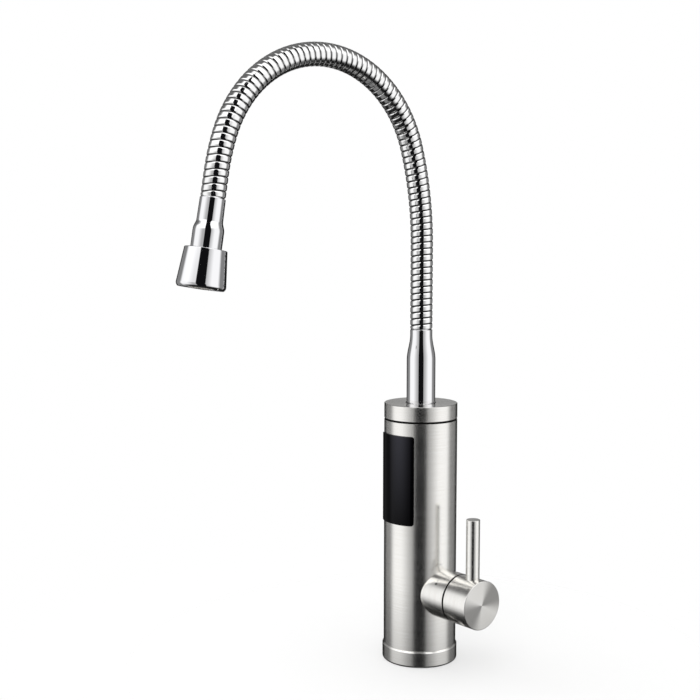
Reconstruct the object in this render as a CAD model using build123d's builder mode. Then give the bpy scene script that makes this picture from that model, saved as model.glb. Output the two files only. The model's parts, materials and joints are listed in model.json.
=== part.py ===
from build123d import *

import os
from math import cos, hypot, radians, sin, sqrt

os.makedirs("parts", exist_ok=True)

# The tap stands on its base at z = 0, on the axis of its column.
# The display panel and the spout face -Y, and the side handle turns about +X.

# Clearances
seat_fit = 0.05
running_fit = 0.06
free_gap = 0.3
overrun = 1

# Column
body_diameter = 60
body_wall = 1
body_top_level = 202
body_radius = body_diameter / 2
body_bore_radius = body_radius - body_wall
liner_radius = body_bore_radius - free_gap

# Base ring and its seal
base_ring_lip = 1
base_ring_height = 14
base_ring_floor = 3
base_ring_bevel = 1.7
base_ring_foot_radius = 2
base_ring_skirt = 7
seal_inset = 1
seal_width = 2
seal_depth = 1.5
base_ring_radius = body_radius + base_ring_lip
base_opening_radius = base_ring_radius - base_ring_skirt
seal_inner_radius = base_opening_radius + seal_inset
seal_outer_radius = seal_inner_radius + seal_width

# Base plate, with the tapped holes for the mounting studs
base_plate_thickness = 10
stud_hole_radius = 3.4
stud_hole_depth = 11
stud_spacing = 34
board_post_wall = 1.7
base_plate_top = base_ring_floor + base_plate_thickness
base_spigot_radius = base_opening_radius - free_gap

# Tie rods that clamp the column between the base plate and the outlet manifold
tie_rod_radius = 1.5
tie_rod_inset = 4.5
tie_rod_valve_gap = 1.77
tie_rod_back_angles = (148, 212)
tie_rod_grip = 8
tie_nut_corner_radius = 3.1
tie_nut_height = 2.4
tie_rod_ring_radius = body_bore_radius - tie_rod_inset
board_post_radius = tie_rod_radius + board_post_wall

# Water inlet
inlet_radius = 11.6
inlet_edge_share = 0.5
inlet_flange_gap = 1
inlet_flange_height = 3
inlet_thread_radius = 9.3
inlet_thread_depth = 13
inlet_hub_wall = 3
inlet_hub_height = 8
pipe_radius = 5
pipe_bore_radius = 3.4

# Power cable gland
gland_radius = 6.4
gland_edge_share = 0.3
gland_bore_radius = 3.75
gland_flange_corner_radius = 8.4
gland_flange_height = 5
gland_dome_radius = 7
gland_dome_height = 8
plate_spare_width = 2 * (base_spigot_radius - inlet_radius - gland_radius)
inlet_y = base_spigot_radius - inlet_radius - plate_spare_width * inlet_edge_share
gland_y = gland_radius - base_spigot_radius + plate_spare_width * gland_edge_share
gland_flange_apothem = gland_flange_corner_radius * cos(radians(30))
inlet_flange_radius = inlet_y - gland_y - gland_flange_apothem - inlet_flange_gap

# Power board in the foot of the column
power_board_lift = 2
power_board_inset = 2
board_thickness = 1.6
relay_length = 15
relay_width = 16
relay_height = 12
relay_rod_gap = 0.4
terminal_length = 13
terminal_width = 10
terminal_height = 9
power_board_level = base_plate_top + gland_flange_height + gland_dome_height + power_board_lift
power_board_radius = body_bore_radius - power_board_inset

# Side valve
valve_relay_gap = 3.7
valve_body_radius = 15.5
valve_back_wall = 3
valve_mouth_depth = 7.6
valve_port_y = 7
valve_port_radius = 2.8
valve_port_back = -2
inlet_socket_depth = 8.5
outlet_socket_depth = 8.5
housing_radius = 19.7
housing_bore_radius = 17.2
housing_length = 17.6
housing_edge = 0.5
handle_level = power_board_level + board_thickness + relay_height + valve_relay_gap + valve_body_radius
housing_front = body_radius + housing_length
valve_body_front = housing_front - valve_mouth_depth
valve_body_back = -pipe_radius - valve_back_wall

# Ceramic cartridge
cartridge_radius = 12.5
cartridge_length = 22
cartridge_setback = 6
cartridge_chamber_radius = 9.8
cartridge_seal_radius = 11
cartridge_seal_thickness = 1.5
disc_radius = 9.5
disc_thickness = 3
disc_gap = 0.02
disc_port_radius = 2.4
driver_thickness = 3.4
cartridge_nut_length = 5.5
cartridge_nut_hex_radius = 8
cartridge_front = valve_body_front - cartridge_setback
cartridge_back = cartridge_front - cartridge_length

# Handle
handle_gap = 1
knob_length = 24.2
knob_wall = 2.5
knob_face = 4
knob_edge = 0.5
knob_boss_radius = 8
knob_boss_setback = 1.4
stem_radius = 4
stem_flat_depth = 0.9
stem_flat_length = 12
stem_reach = 13.4
lever_setback = 10.8
lever_diameter = 11
lever_length = 67.6
lever_edge = 0.5
grub_screw_radius = 2.5
grub_screw_setback = 7.4
grub_access_radius = 2.9

# Flow switch under the heater
flow_switch_radius = 8
flow_switch_lift = 1.7
flow_switch_height = 17
flow_chamber_radius = 6
flow_seat_height = 6.5
flow_seat_radius = 3
float_radius = 5.5
float_height = 6.5
float_rest_gap = 0.1
float_bore_radius = 2

# Heater
tank_y = 5
tank_rod_gap = 0.42
tank_wall = 2
tank_floor = 3
lid_thickness = 6
lid_spigot_depth = 5
tank_seal_height = 1.8
tank_seal_depth = 1.2
lid_outlet_height = 6
lid_outlet_bore_radius = 3
element_radius = 3.2
element_x_share = 0.4
element_y_share = 0.4
element_bend_height = 17
element_stub_gap = 0.5
lead_radius = 1.2
lead_inset = 2.5
lead_angles = (100, 118)
lead_bend_radius = 5
lead_clearance = 1
probe_x_share = -0.7
probe_y = 4
probe_radius = 1.7
probe_depth = 24
cutout_rod_gap = 0.5
cutout_drop = 34
cutout_depth = 7

# Control board and display
control_board_width = 34
control_board_lift = 17
control_board_rise = 2
carrier_width = 24
carrier_height = 6
board_screw_x = 10
board_screw_radius = 1
board_screw_head_radius = 1.9
board_screw_head_height = 0.9
board_screw_length = 6
display_width = 24
display_height = 42
display_depth = 5
display_gap = 0.55
window_width = 20
window_height = 38
panel_height = 73
panel_drop = 11
panel_proud = 1.5
panel_half_angle = 37.5
panel_corner_radius = 2.5

# Top cap, outlet manifold and swivel
seam_height = 1
seam_recess = 0.4
cap_height = 12
cap_plate = 3
cap_wall = 2.2
cap_spigot_depth = 7
cap_edge = 0.5
cap_hole_radius = 12.5
manifold_height = 19
manifold_radius = 11
manifold_foot_wall = 1.5
manifold_floor = 1.5
manifold_flange_thickness = 3
clip_pocket_radius = 10
clip_pocket_depth = 4
bearing_flange_radius = 14
bearing_flange_thickness = 3
bearing_step = 1.5
tail_radius = 8
tail_bore_radius = 4.4
tail_end_gap = 0.5
tail_rise = 26.3
o_ring_height = 1.6
o_ring_depth = 1.4
o_ring_drops = (10, 6.5)
clip_thickness = 1
clip_depth = 0.8
clip_radius = 9.5
clip_drop = 3

# Neck base
neck_base_diameter = 23.5
neck_barrel_height = 36.3
neck_taper_height = 21
neck_collar_height = 4
neck_base_edge = 0.4
neck_rest_gap = 0.2

# Bendable neck: a straight riser, three tangent arcs and a straight end, all in the YZ plane
hose_diameter = 18
riser_length = 69
rise_radius = 260
rise_turn = 17.3
crook_radius = 93.8
crook_turn = 141.8
drop_radius = 162
drop_turn = 10.9
end_rib_count = 10
middle_rib_count = 8
middle_segment_count = 8
crest_share = 0.7
flank_share = 0.07
groove_depth = 0.9
lip_depth = 0.4
lip_length = 0.175
hose_bore_radius = 5.6
ball_radius = 7.7
ball_reach = 2.2
ball_root = 1.6
socket_depth = 3.4
inner_tube_radius = 4
inner_tube_bore_radius = 3

# Outlet head, as distances from the end of the hose
sleeve_diameter = 19
sleeve_top_diameter = 18.4
sleeve_length = 18
flare_length = 2.6
connector_diameter = 22.4
bell_start = 36
bell_end = 64.5
bell_shoulder_diameter = 30.7
bell_mouth_diameter = 36
bell_wall = 2
bell_edge = 0.6
bell_travel = 4
stop_flange_radius = 12.7
stop_flange_thickness = 3
connector_bore_radius = 8
spray_plate_thickness = 4
spray_plate_recess = 1.5
spray_hole_radius = 0.7
spray_hole_count = 20
spray_ring_radius = 12.2
aerator_radius = 9
aerator_length = 9
aerator_wall = 1.2
screen_thickness = 0.6

# Levels up the column: the top cap hangs the manifold, and the tank fills what is left above the flow switch
hose_radius = hose_diameter / 2
neck_base_radius = neck_base_diameter / 2
seam_top = body_top_level + seam_height
cap_top_level = seam_top + cap_height
cap_plate_level = cap_top_level - cap_plate
manifold_top = cap_plate_level - bearing_flange_thickness
lid_top = manifold_top - manifold_height
tank_top = lid_top - lid_thickness
flow_switch_bottom = handle_level + valve_body_radius + flow_switch_lift
flow_seat_level = flow_switch_bottom + flow_seat_height
tank_bottom = flow_switch_bottom + flow_switch_height
lid_outlet_top = lid_top + lid_outlet_height
tail_bottom = lid_outlet_top + tail_end_gap
bearing_top = cap_plate_level + bearing_step
neck_foot_level = bearing_top + neck_rest_gap
tail_top = neck_foot_level + tail_rise
clip_level = manifold_top - clip_drop
neck_base_shoulder = neck_foot_level + neck_barrel_height
neck_base_waist = neck_base_shoulder + neck_taper_height
hose_start_level = neck_base_waist + neck_collar_height
panel_top = body_top_level - panel_drop
panel_bottom = panel_top - panel_height
control_board_bottom = tank_bottom + control_board_lift
control_board_top = tank_top + control_board_rise

# Places along the handle's axis
knob_back = housing_front + handle_gap
knob_front = knob_back + knob_length
knob_boss_back = knob_back + knob_boss_setback
stem_start = cartridge_back + cartridge_seal_thickness + 2 * disc_thickness + 2 * disc_gap
stem_end = knob_back + stem_reach
lever_radius = lever_diameter / 2
lever_x = knob_front - lever_setback
lever_top_level = handle_level + lever_length
grub_screw_x = knob_back + grub_screw_setback


def tie_rod_places():
    """Places of the tie rods on their ring: one close beside the valve and two behind it."""
    valve_side = valve_body_radius + tie_rod_radius + tie_rod_valve_gap
    places = [(sqrt(tie_rod_ring_radius**2 - valve_side**2), valve_side)]
    for angle in tie_rod_back_angles:
        x = tie_rod_ring_radius * cos(radians(angle))
        y = tie_rod_ring_radius * sin(radians(angle))
        places.append((x, y))
    return places


# Places in the column's plan: the tank fits between the rods, and the boards follow the column's wall
first_rod, second_rod, third_rod = tie_rod_places()
tank_radius = hypot(first_rod[0], first_rod[1] - tank_y) - tie_rod_radius - tank_rod_gap
tank_bore_radius = tank_radius - tank_wall
element_x = tank_bore_radius * element_x_share
element_y = tank_y + tank_bore_radius * element_y_share
element_bend_level = tank_bottom + element_bend_height
stub_top = lid_outlet_top - manifold_floor - element_stub_gap
probe_x = tank_bore_radius * probe_x_share
cutout_radius = second_rod[1] - tie_rod_radius - cutout_rod_gap - tank_y
cutout_level = tank_top - cutout_drop
lead_ring_radius = body_bore_radius - lead_inset
relay_edge_x = third_rod[0] + tie_rod_radius + relay_rod_gap
component_edge_y = -sqrt(power_board_radius**2 - relay_edge_x**2)
display_front_y = -sqrt((body_bore_radius - display_gap) ** 2 - (display_width / 2) ** 2)
control_board_y = display_front_y + display_depth
board_back = control_board_y + board_thickness

# Planes of the side valve and of the neck
valve_plane = Plane(origin=(0, 0, handle_level), x_dir=(0, 1, 0), z_dir=(1, 0, 0))
neck_plane = Plane(origin=(0, 0, 0), x_dir=(0, -1, 0), z_dir=(-1, 0, 0))

# Legs of the neck's centre line, each with its length and the angle it turns
rise_length = rise_radius * radians(rise_turn)
crook_length = crook_radius * radians(crook_turn)
drop_length = drop_radius * radians(drop_turn)
neck_legs = (
    (riser_length, 0),
    (rise_length, rise_turn),
    (crook_length, crook_turn),
    (drop_length, drop_turn),
    (hose_diameter, 0),
)
hose_length = sum(length for length, turn in neck_legs)
middle_ribs = (middle_rib_count,) * middle_segment_count
segment_ribs = (end_rib_count,) + middle_ribs + (end_rib_count,)
rib_pitch = hose_length / sum(segment_ribs)
crest_width = rib_pitch * crest_share
flank_width = rib_pitch * flank_share


def neck_place(distance):
    """Forward reach, height and heading of the neck's centre line at a distance from the hose's start.

    The heading is in degrees above the forward direction, and falls by each leg's turn along a round arc.
    A distance past the last leg, or before the first, goes on straight.
    """
    forward = 0
    height = hose_start_level
    heading = 90
    for number, (length, turn) in enumerate(neck_legs):
        last = number == len(neck_legs) - 1
        run = distance if last else min(distance, length)
        start = radians(heading)
        if turn:
            end = radians(heading - turn * run / length)
            radius = length / radians(turn)
            forward += radius * (sin(start) - sin(end))
            height += radius * (cos(end) - cos(start))
            heading -= turn * run / length
        else:
            forward += run * cos(start)
            height += run * sin(start)
        distance -= run
        if distance <= 0:
            break
    return forward, height, heading


def neck_frame(distance):
    """Centre of the neck at a distance along it, and the direction in which it runs there."""
    forward, height, heading = neck_place(distance)
    direction = (0, -cos(radians(heading)), sin(radians(heading)))
    return (0, -forward, height), direction


def across_neck(distance):
    """Plane square to the neck, with its x axis always along +X."""
    centre, direction = neck_frame(distance)
    return Plane(origin=centre, x_dir=(1, 0, 0), z_dir=direction)


def along_neck(distance):
    """Plane through the neck's axis: x runs along the neck and y outwards."""
    centre, direction = neck_frame(distance)
    return Plane(origin=centre, x_dir=direction, z_dir=(1, 0, 0))


def neck_axis(distance):
    centre, direction = neck_frame(distance)
    return Axis(centre, direction)


def save(piece, name):
    """Label a finished piece and write it as a STEP file."""
    piece.part.label = name
    export_step(piece.part, f"parts/{name}.step")


# Base ring: a turned steel skirt with a bevelled top and a rounded foot
with BuildPart() as base_ring:
    with BuildSketch(Plane.XZ):
        with BuildLine():
            Polyline(
                (base_opening_radius, 0),
                (base_ring_radius, 0),
                (base_ring_radius, base_ring_height - base_ring_bevel),
                (body_radius + seat_fit, base_ring_height),
                (body_radius + seat_fit, base_ring_floor),
                (base_opening_radius, base_ring_floor),
                close=True,
            )
        make_face()
    revolve(axis=Axis.Z)
    foot_edges = base_ring.edges().group_by(Axis.Z)[0]
    fillet(foot_edges.sort_by(SortBy.RADIUS)[-1], base_ring_foot_radius)
    with BuildSketch():
        Circle(seal_outer_radius + seat_fit)
        Circle(seal_inner_radius - seat_fit, mode=Mode.SUBTRACT)
    extrude(amount=seal_depth, mode=Mode.SUBTRACT)
save(base_ring, "base_ring")

# Base seal: flat rubber ring in the groove under the base ring
with BuildPart() as base_seal:
    with BuildSketch():
        Circle(seal_outer_radius)
        Circle(seal_inner_radius, mode=Mode.SUBTRACT)
    extrude(amount=seal_depth)
save(base_seal, "base_seal")

# Base plate: carries the inlet, the gland, the stud holes and the power board's posts
with BuildPart() as base_plate:
    with BuildSketch():
        Circle(base_spigot_radius)
    extrude(amount=base_ring_floor)
    with BuildSketch(Plane.XY.offset(base_ring_floor)):
        Circle(liner_radius)
    extrude(amount=base_plate_top - base_ring_floor)
    with BuildSketch(Plane.XY.offset(base_plate_top)):
        with Locations(*tie_rod_places()):
            Circle(board_post_radius)
    extrude(amount=power_board_level - base_plate_top)
    with BuildSketch():
        with Locations((0, inlet_y)):
            Circle(inlet_radius + seat_fit)
        with Locations((0, gland_y)):
            Circle(gland_radius + seat_fit)
    extrude(amount=base_plate_top, mode=Mode.SUBTRACT)
    with BuildSketch():
        with GridLocations(stud_spacing, 0, 2, 1):
            Circle(stud_hole_radius)
    extrude(amount=stud_hole_depth, mode=Mode.SUBTRACT)
    with BuildSketch(Plane.XY.offset(base_plate_top - tie_rod_grip)):
        with Locations(*tie_rod_places()):
            Circle(tie_rod_radius + seat_fit)
    extrude(amount=power_board_level, mode=Mode.SUBTRACT)
save(base_plate, "base_plate")

# Water inlet: a brass fitting with a half inch thread below and a pipe up to the valve
inlet_hub_top = base_plate_top + inlet_flange_height + inlet_hub_height
inlet_reach = sqrt(valve_body_radius**2 - inlet_y**2)
inlet_pipe_top = handle_level - inlet_reach + inlet_socket_depth
with BuildPart() as inlet_connector:
    with BuildSketch():
        with Locations((0, inlet_y)):
            Circle(inlet_radius)
    extrude(amount=base_plate_top)
    with BuildSketch(Plane.XY.offset(base_plate_top)):
        with Locations((0, inlet_y)):
            Circle(inlet_flange_radius)
    extrude(amount=inlet_flange_height)
    with BuildSketch(Plane.XY.offset(base_plate_top + inlet_flange_height)):
        with Locations((0, inlet_y)):
            Circle(pipe_radius + inlet_hub_wall)
    extrude(amount=inlet_hub_height)
    with BuildSketch(Plane.XY.offset(inlet_hub_top)):
        with Locations((0, inlet_y)):
            Circle(pipe_radius)
    extrude(amount=inlet_pipe_top - inlet_hub_top)
    with BuildSketch():
        with Locations((0, inlet_y)):
            Circle(inlet_thread_radius)
    extrude(amount=inlet_thread_depth, mode=Mode.SUBTRACT)
    with BuildSketch():
        with Locations((0, inlet_y)):
            Circle(pipe_bore_radius)
    extrude(amount=inlet_pipe_top, mode=Mode.SUBTRACT)
save(inlet_connector, "inlet_connector")

# Cable gland: a nylon sleeve with a hexagon flange and a round dome nut
gland_flange_top = base_plate_top + gland_flange_height
with BuildPart() as cable_gland:
    with BuildSketch():
        with Locations((0, gland_y)):
            Circle(gland_radius)
    extrude(amount=base_plate_top)
    with BuildSketch(Plane.XY.offset(base_plate_top)):
        with Locations((0, gland_y)):
            RegularPolygon(gland_flange_corner_radius, 6)
    extrude(amount=gland_flange_height)
    with BuildSketch(Plane.XY.offset(gland_flange_top)):
        with Locations((0, gland_y)):
            Circle(gland_dome_radius)
    extrude(amount=gland_dome_height)
    with BuildSketch():
        with Locations((0, gland_y)):
            Circle(gland_bore_radius)
    extrude(amount=gland_flange_top + gland_dome_height, mode=Mode.SUBTRACT)
save(cable_gland, "cable_gland")

# Tie rods and their nuts
tie_nut_top = manifold_top + tie_nut_height
with BuildPart() as tie_rods:
    with BuildSketch(Plane.XY.offset(base_plate_top - tie_rod_grip)):
        with Locations(*tie_rod_places()):
            Circle(tie_rod_radius)
    extrude(amount=tie_nut_top - base_plate_top + tie_rod_grip)
save(tie_rods, "tie_rods")

with BuildPart() as tie_rod_nuts:
    with BuildSketch(Plane.XY.offset(manifold_top)):
        with Locations(*tie_rod_places()):
            RegularPolygon(tie_nut_corner_radius, 6)
            Circle(tie_rod_radius + seat_fit, mode=Mode.SUBTRACT)
    extrude(amount=tie_nut_height)
save(tie_rod_nuts, "tie_rod_nuts")

# Power board: a round circuit board on the base plate's posts, with a relay and a terminal block
with BuildPart() as power_board:
    with BuildSketch(Plane.XY.offset(power_board_level)):
        Circle(power_board_radius)
        with Locations(*tie_rod_places()):
            Circle(tie_rod_radius + free_gap, mode=Mode.SUBTRACT)
        with Locations((0, inlet_y)):
            Circle(pipe_radius + free_gap, mode=Mode.SUBTRACT)
    extrude(amount=board_thickness)
save(power_board, "power_board")

board_top_level = power_board_level + board_thickness
with BuildPart() as power_relay:
    with BuildSketch(Plane.XY.offset(board_top_level)):
        with Locations((relay_edge_x, component_edge_y)):
            Rectangle(relay_length, relay_width, align=(Align.MIN, Align.MIN))
    extrude(amount=relay_height)
save(power_relay, "power_relay")

terminal_pitch = terminal_length / 3
terminal_x = -relay_edge_x - terminal_length / 2
terminal_y = component_edge_y + terminal_width / 2
with BuildPart() as terminal_block:
    with BuildSketch(Plane.XY.offset(board_top_level)):
        with Locations((terminal_x, terminal_y)):
            Rectangle(terminal_length, terminal_width)
    extrude(amount=terminal_height)
    with BuildSketch(Plane.XY.offset(board_top_level + terminal_height)):
        with Locations((terminal_x, terminal_y)):
            with GridLocations(terminal_pitch, 0, 3, 1):
                Circle(terminal_pitch / 3)
    extrude(amount=-terminal_height / 2, mode=Mode.SUBTRACT)
save(terminal_block, "terminal_block")

# Valve body: a brass barrel along the handle's axis, with an inlet below and an outlet above
outlet_reach = sqrt(valve_body_radius**2 - valve_port_y**2)
outlet_socket_level = handle_level + outlet_reach - outlet_socket_depth
with BuildPart() as valve_body:
    with BuildSketch(valve_plane.offset(valve_body_back)):
        Circle(valve_body_radius)
    extrude(amount=valve_body_front - valve_body_back)
    with BuildSketch(valve_plane.offset(cartridge_back)):
        Circle(cartridge_radius + seat_fit)
    extrude(amount=valve_body_front - cartridge_back, mode=Mode.SUBTRACT)
    with BuildSketch(valve_plane.offset(valve_port_back)):
        with Locations((valve_port_y, 0), (-valve_port_y, 0)):
            Circle(valve_port_radius)
    extrude(amount=cartridge_back - valve_port_back, mode=Mode.SUBTRACT)
    with BuildSketch(Plane.XY.offset(handle_level - valve_body_radius)):
        with Locations((0, inlet_y)):
            Circle(pipe_radius + seat_fit)
    extrude(amount=inlet_pipe_top - handle_level + valve_body_radius, mode=Mode.SUBTRACT)
    with BuildSketch(Plane.XY.offset(inlet_pipe_top)):
        with Locations((0, inlet_y)):
            Circle(pipe_bore_radius)
    extrude(amount=handle_level - inlet_pipe_top, mode=Mode.SUBTRACT)
    with BuildSketch(Plane.XY.offset(handle_level)):
        with Locations((0, -valve_port_y)):
            Circle(pipe_bore_radius)
    extrude(amount=valve_body_radius, mode=Mode.SUBTRACT)
    with BuildSketch(Plane.XY.offset(outlet_socket_level)):
        with Locations((0, -valve_port_y)):
            Circle(pipe_radius + seat_fit)
    extrude(amount=valve_body_radius, mode=Mode.SUBTRACT)
save(valve_body, "valve_body")

# Valve housing: the steel sleeve that stands on the column around the valve body
with BuildPart() as valve_housing:
    with BuildSketch(valve_plane):
        Circle(housing_radius)
    extrude(amount=housing_front)
    mouth_edges = valve_housing.edges().group_by(Axis.X)[-1]
    chamfer(mouth_edges, housing_edge)
    with BuildSketch(valve_plane):
        Circle(valve_body_radius + seat_fit)
    extrude(amount=housing_front, mode=Mode.SUBTRACT)
    with BuildSketch(valve_plane.offset(valve_body_front)):
        Circle(housing_bore_radius)
    extrude(amount=housing_front - valve_body_front, mode=Mode.SUBTRACT)
    with BuildSketch():
        Circle(body_radius + seat_fit)
    extrude(amount=body_top_level, mode=Mode.SUBTRACT)
save(valve_housing, "valve_housing")

# Cartridge: seal, fixed disc, case and nut stay still, while the moving disc turns with the stem
seal_front = cartridge_back + cartridge_seal_thickness
with BuildPart() as cartridge_seal:
    with BuildSketch(valve_plane.offset(cartridge_back)):
        Circle(cartridge_seal_radius)
        with Locations((valve_port_y, 0), (-valve_port_y, 0)):
            Circle(valve_port_radius, mode=Mode.SUBTRACT)
    extrude(amount=cartridge_seal_thickness)
save(cartridge_seal, "cartridge_seal")

with BuildPart() as ceramic_fixed_disc:
    with BuildSketch(valve_plane.offset(seal_front)):
        Circle(disc_radius)
        with Locations((valve_port_y, 0), (-valve_port_y, 0)):
            Circle(disc_port_radius, mode=Mode.SUBTRACT)
    extrude(amount=disc_thickness)
save(ceramic_fixed_disc, "ceramic_fixed_disc")

# The moving disc has one curved slot, which joins the two ports when the stem has turned a quarter
with BuildPart() as ceramic_moving_disc:
    with BuildSketch(valve_plane.offset(seal_front + disc_thickness + disc_gap)):
        Circle(disc_radius)
        with Locations((0, valve_port_y), (0, -valve_port_y)):
            Circle(disc_port_radius, mode=Mode.SUBTRACT)
        Rectangle(disc_port_radius, 2 * valve_port_y, mode=Mode.SUBTRACT)
    extrude(amount=disc_thickness)
save(ceramic_moving_disc, "ceramic_moving_disc")

driver_front = stem_start + driver_thickness
with BuildPart() as cartridge_case:
    with BuildSketch(valve_plane.offset(seal_front)):
        Circle(cartridge_radius)
    extrude(amount=cartridge_front - seal_front)
    with BuildSketch(valve_plane.offset(seal_front)):
        Circle(cartridge_chamber_radius)
    extrude(amount=driver_front + free_gap - seal_front, mode=Mode.SUBTRACT)
    with BuildSketch(valve_plane.offset(driver_front)):
        Circle(stem_radius + running_fit)
    extrude(amount=cartridge_front - driver_front, mode=Mode.SUBTRACT)
save(cartridge_case, "cartridge_case")

with BuildPart() as cartridge_stem:
    with BuildSketch(valve_plane.offset(stem_start)):
        Circle(disc_radius)
    extrude(amount=driver_thickness)
    with BuildSketch(valve_plane.offset(driver_front)):
        Circle(stem_radius)
    extrude(amount=stem_end - driver_front)
    with BuildSketch(valve_plane.offset(stem_end - stem_flat_length)):
        with Locations((0, -stem_radius)):
            Rectangle(2 * stem_radius, 2 * stem_flat_depth)
    extrude(amount=stem_flat_length, mode=Mode.SUBTRACT)
save(cartridge_stem, "cartridge_stem")

with BuildPart() as cartridge_nut:
    with BuildSketch(valve_plane.offset(cartridge_front)):
        Circle(cartridge_radius)
        RegularPolygon(cartridge_nut_hex_radius, 6, mode=Mode.SUBTRACT)
    extrude(amount=cartridge_nut_length)
save(cartridge_nut, "cartridge_nut")

# Handle knob: a hollow steel drum with a boss for the stem, a lever hole and a grub screw hole
with BuildPart() as handle_knob:
    with BuildSketch(valve_plane.offset(knob_back)):
        Circle(housing_radius)
    extrude(amount=knob_front - knob_back)
    chamfer(handle_knob.edges().group_by(Axis.X)[0], knob_edge)
    chamfer(handle_knob.edges().group_by(Axis.X)[-1], knob_edge)
    with BuildSketch(valve_plane.offset(knob_back)):
        Circle(housing_radius - knob_wall)
    extrude(amount=knob_front - knob_face - knob_back, mode=Mode.SUBTRACT)
    with BuildSketch(valve_plane.offset(knob_boss_back)):
        Circle(knob_boss_radius)
    extrude(amount=knob_front - knob_face - knob_boss_back)
    with BuildSketch(valve_plane.offset(knob_boss_back)):
        Circle(stem_radius + seat_fit)
    extrude(amount=stem_end + seat_fit - knob_boss_back, mode=Mode.SUBTRACT)
    with BuildSketch(Plane.XY.offset(handle_level + knob_boss_radius)):
        with Locations((lever_x, 0)):
            Circle(lever_radius + seat_fit)
    extrude(amount=housing_radius, mode=Mode.SUBTRACT)
    with BuildSketch(Plane.XY.offset(handle_level)):
        with Locations((grub_screw_x, 0)):
            Circle(grub_screw_radius + seat_fit)
    extrude(amount=-knob_boss_radius, mode=Mode.SUBTRACT)
    with BuildSketch(Plane.XY.offset(handle_level - knob_boss_radius)):
        with Locations((grub_screw_x, 0)):
            Circle(grub_access_radius)
    extrude(amount=-housing_radius, mode=Mode.SUBTRACT)
save(handle_knob, "handle_knob")

# Lever: a straight round bar with a flat top, screwed into the knob down to its boss
lever_foot_level = handle_level + knob_boss_radius + seat_fit
with BuildPart() as lever:
    with BuildSketch(Plane.XY.offset(lever_foot_level)):
        with Locations((lever_x, 0)):
            Circle(lever_radius)
    extrude(amount=lever_top_level - lever_foot_level)
    chamfer(lever.edges().group_by(Axis.Z)[-1], lever_edge)
save(lever, "lever")

# Grub screw that grips the flat of the stem
grub_top_level = handle_level - stem_radius + stem_flat_depth - seat_fit
with BuildPart() as grub_screw:
    with BuildSketch(Plane.XY.offset(handle_level - knob_boss_radius)):
        with Locations((grub_screw_x, 0)):
            Circle(grub_screw_radius)
    extrude(amount=grub_top_level - handle_level + knob_boss_radius)
    with BuildSketch(Plane.XY.offset(handle_level - knob_boss_radius)):
        with Locations((grub_screw_x, 0)):
            RegularPolygon(grub_screw_radius / 2, 6)
    extrude(amount=grub_screw_radius, mode=Mode.SUBTRACT)
save(grub_screw, "grub_screw")

# Flow switch: a plastic chamber between valve and tank, whose magnetic float the water lifts
with BuildPart() as flow_switch_housing:
    with BuildSketch(Plane.XY.offset(outlet_socket_level)):
        with Locations((0, -valve_port_y)):
            Circle(pipe_radius)
    extrude(amount=flow_switch_bottom - outlet_socket_level)
    with BuildSketch(Plane.XY.offset(flow_switch_bottom)):
        with Locations((0, -valve_port_y)):
            Circle(flow_switch_radius)
    extrude(amount=tank_bottom - flow_switch_bottom)
    with BuildSketch(Plane.XY.offset(outlet_socket_level)):
        with Locations((0, -valve_port_y)):
            Circle(flow_seat_radius)
    extrude(amount=flow_seat_level - outlet_socket_level, mode=Mode.SUBTRACT)
    with BuildSketch(Plane.XY.offset(flow_seat_level)):
        with Locations((0, -valve_port_y)):
            Circle(flow_chamber_radius)
    extrude(amount=tank_bottom - flow_seat_level, mode=Mode.SUBTRACT)
save(flow_switch_housing, "flow_switch_housing")

with BuildPart() as flow_float:
    with BuildSketch(Plane.XY.offset(flow_seat_level + float_rest_gap)):
        with Locations((0, -valve_port_y)):
            Circle(float_radius)
            Circle(float_bore_radius, mode=Mode.SUBTRACT)
    extrude(amount=float_height)
save(flow_float, "flow_float")

# Heater tank with its port above the flow switch
tank_centre = (0, tank_y)
with BuildPart() as heater_tank:
    with BuildSketch(Plane.XY.offset(tank_bottom)):
        with Locations(tank_centre):
            Circle(tank_radius)
    extrude(amount=tank_top - tank_bottom)
    with BuildSketch(Plane.XY.offset(tank_bottom + tank_floor)):
        with Locations(tank_centre):
            Circle(tank_bore_radius)
    extrude(amount=tank_top - tank_bottom - tank_floor, mode=Mode.SUBTRACT)
    with BuildSketch(Plane.XY.offset(tank_bottom)):
        with Locations((0, -valve_port_y)):
            Circle(flow_seat_radius)
    extrude(amount=tank_floor, mode=Mode.SUBTRACT)
save(heater_tank, "heater_tank")

# Tank lid, with its outlet nipple on the column's axis and holes for the element and the probe
lid_spigot_radius = tank_bore_radius - seat_fit
seal_groove_level = tank_top - (lid_spigot_depth + tank_seal_height) / 2
with BuildPart() as tank_lid:
    with BuildSketch(Plane.XY.offset(tank_top - lid_spigot_depth)):
        with Locations(tank_centre):
            Circle(lid_spigot_radius)
    extrude(amount=lid_spigot_depth)
    with BuildSketch(Plane.XY.offset(seal_groove_level)):
        with Locations(tank_centre):
            Circle(tank_radius)
            Circle(lid_spigot_radius - tank_seal_depth, mode=Mode.SUBTRACT)
    extrude(amount=tank_seal_height, mode=Mode.SUBTRACT)
    with BuildSketch(Plane.XY.offset(tank_top)):
        with Locations(tank_centre):
            Circle(tank_radius)
    extrude(amount=lid_thickness)
    with BuildSketch(Plane.XY.offset(lid_top)):
        Circle(pipe_radius)
    extrude(amount=lid_outlet_height)
    with BuildSketch(Plane.XY.offset(tank_top - lid_spigot_depth)):
        Circle(lid_outlet_bore_radius)
        with Locations((element_x, element_y), (-element_x, element_y)):
            Circle(element_radius + seat_fit)
        with Locations((probe_x, probe_y)):
            Circle(probe_radius + seat_fit)
    extrude(amount=lid_spigot_depth + lid_thickness + lid_outlet_height, mode=Mode.SUBTRACT)
save(tank_lid, "tank_lid")

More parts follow.
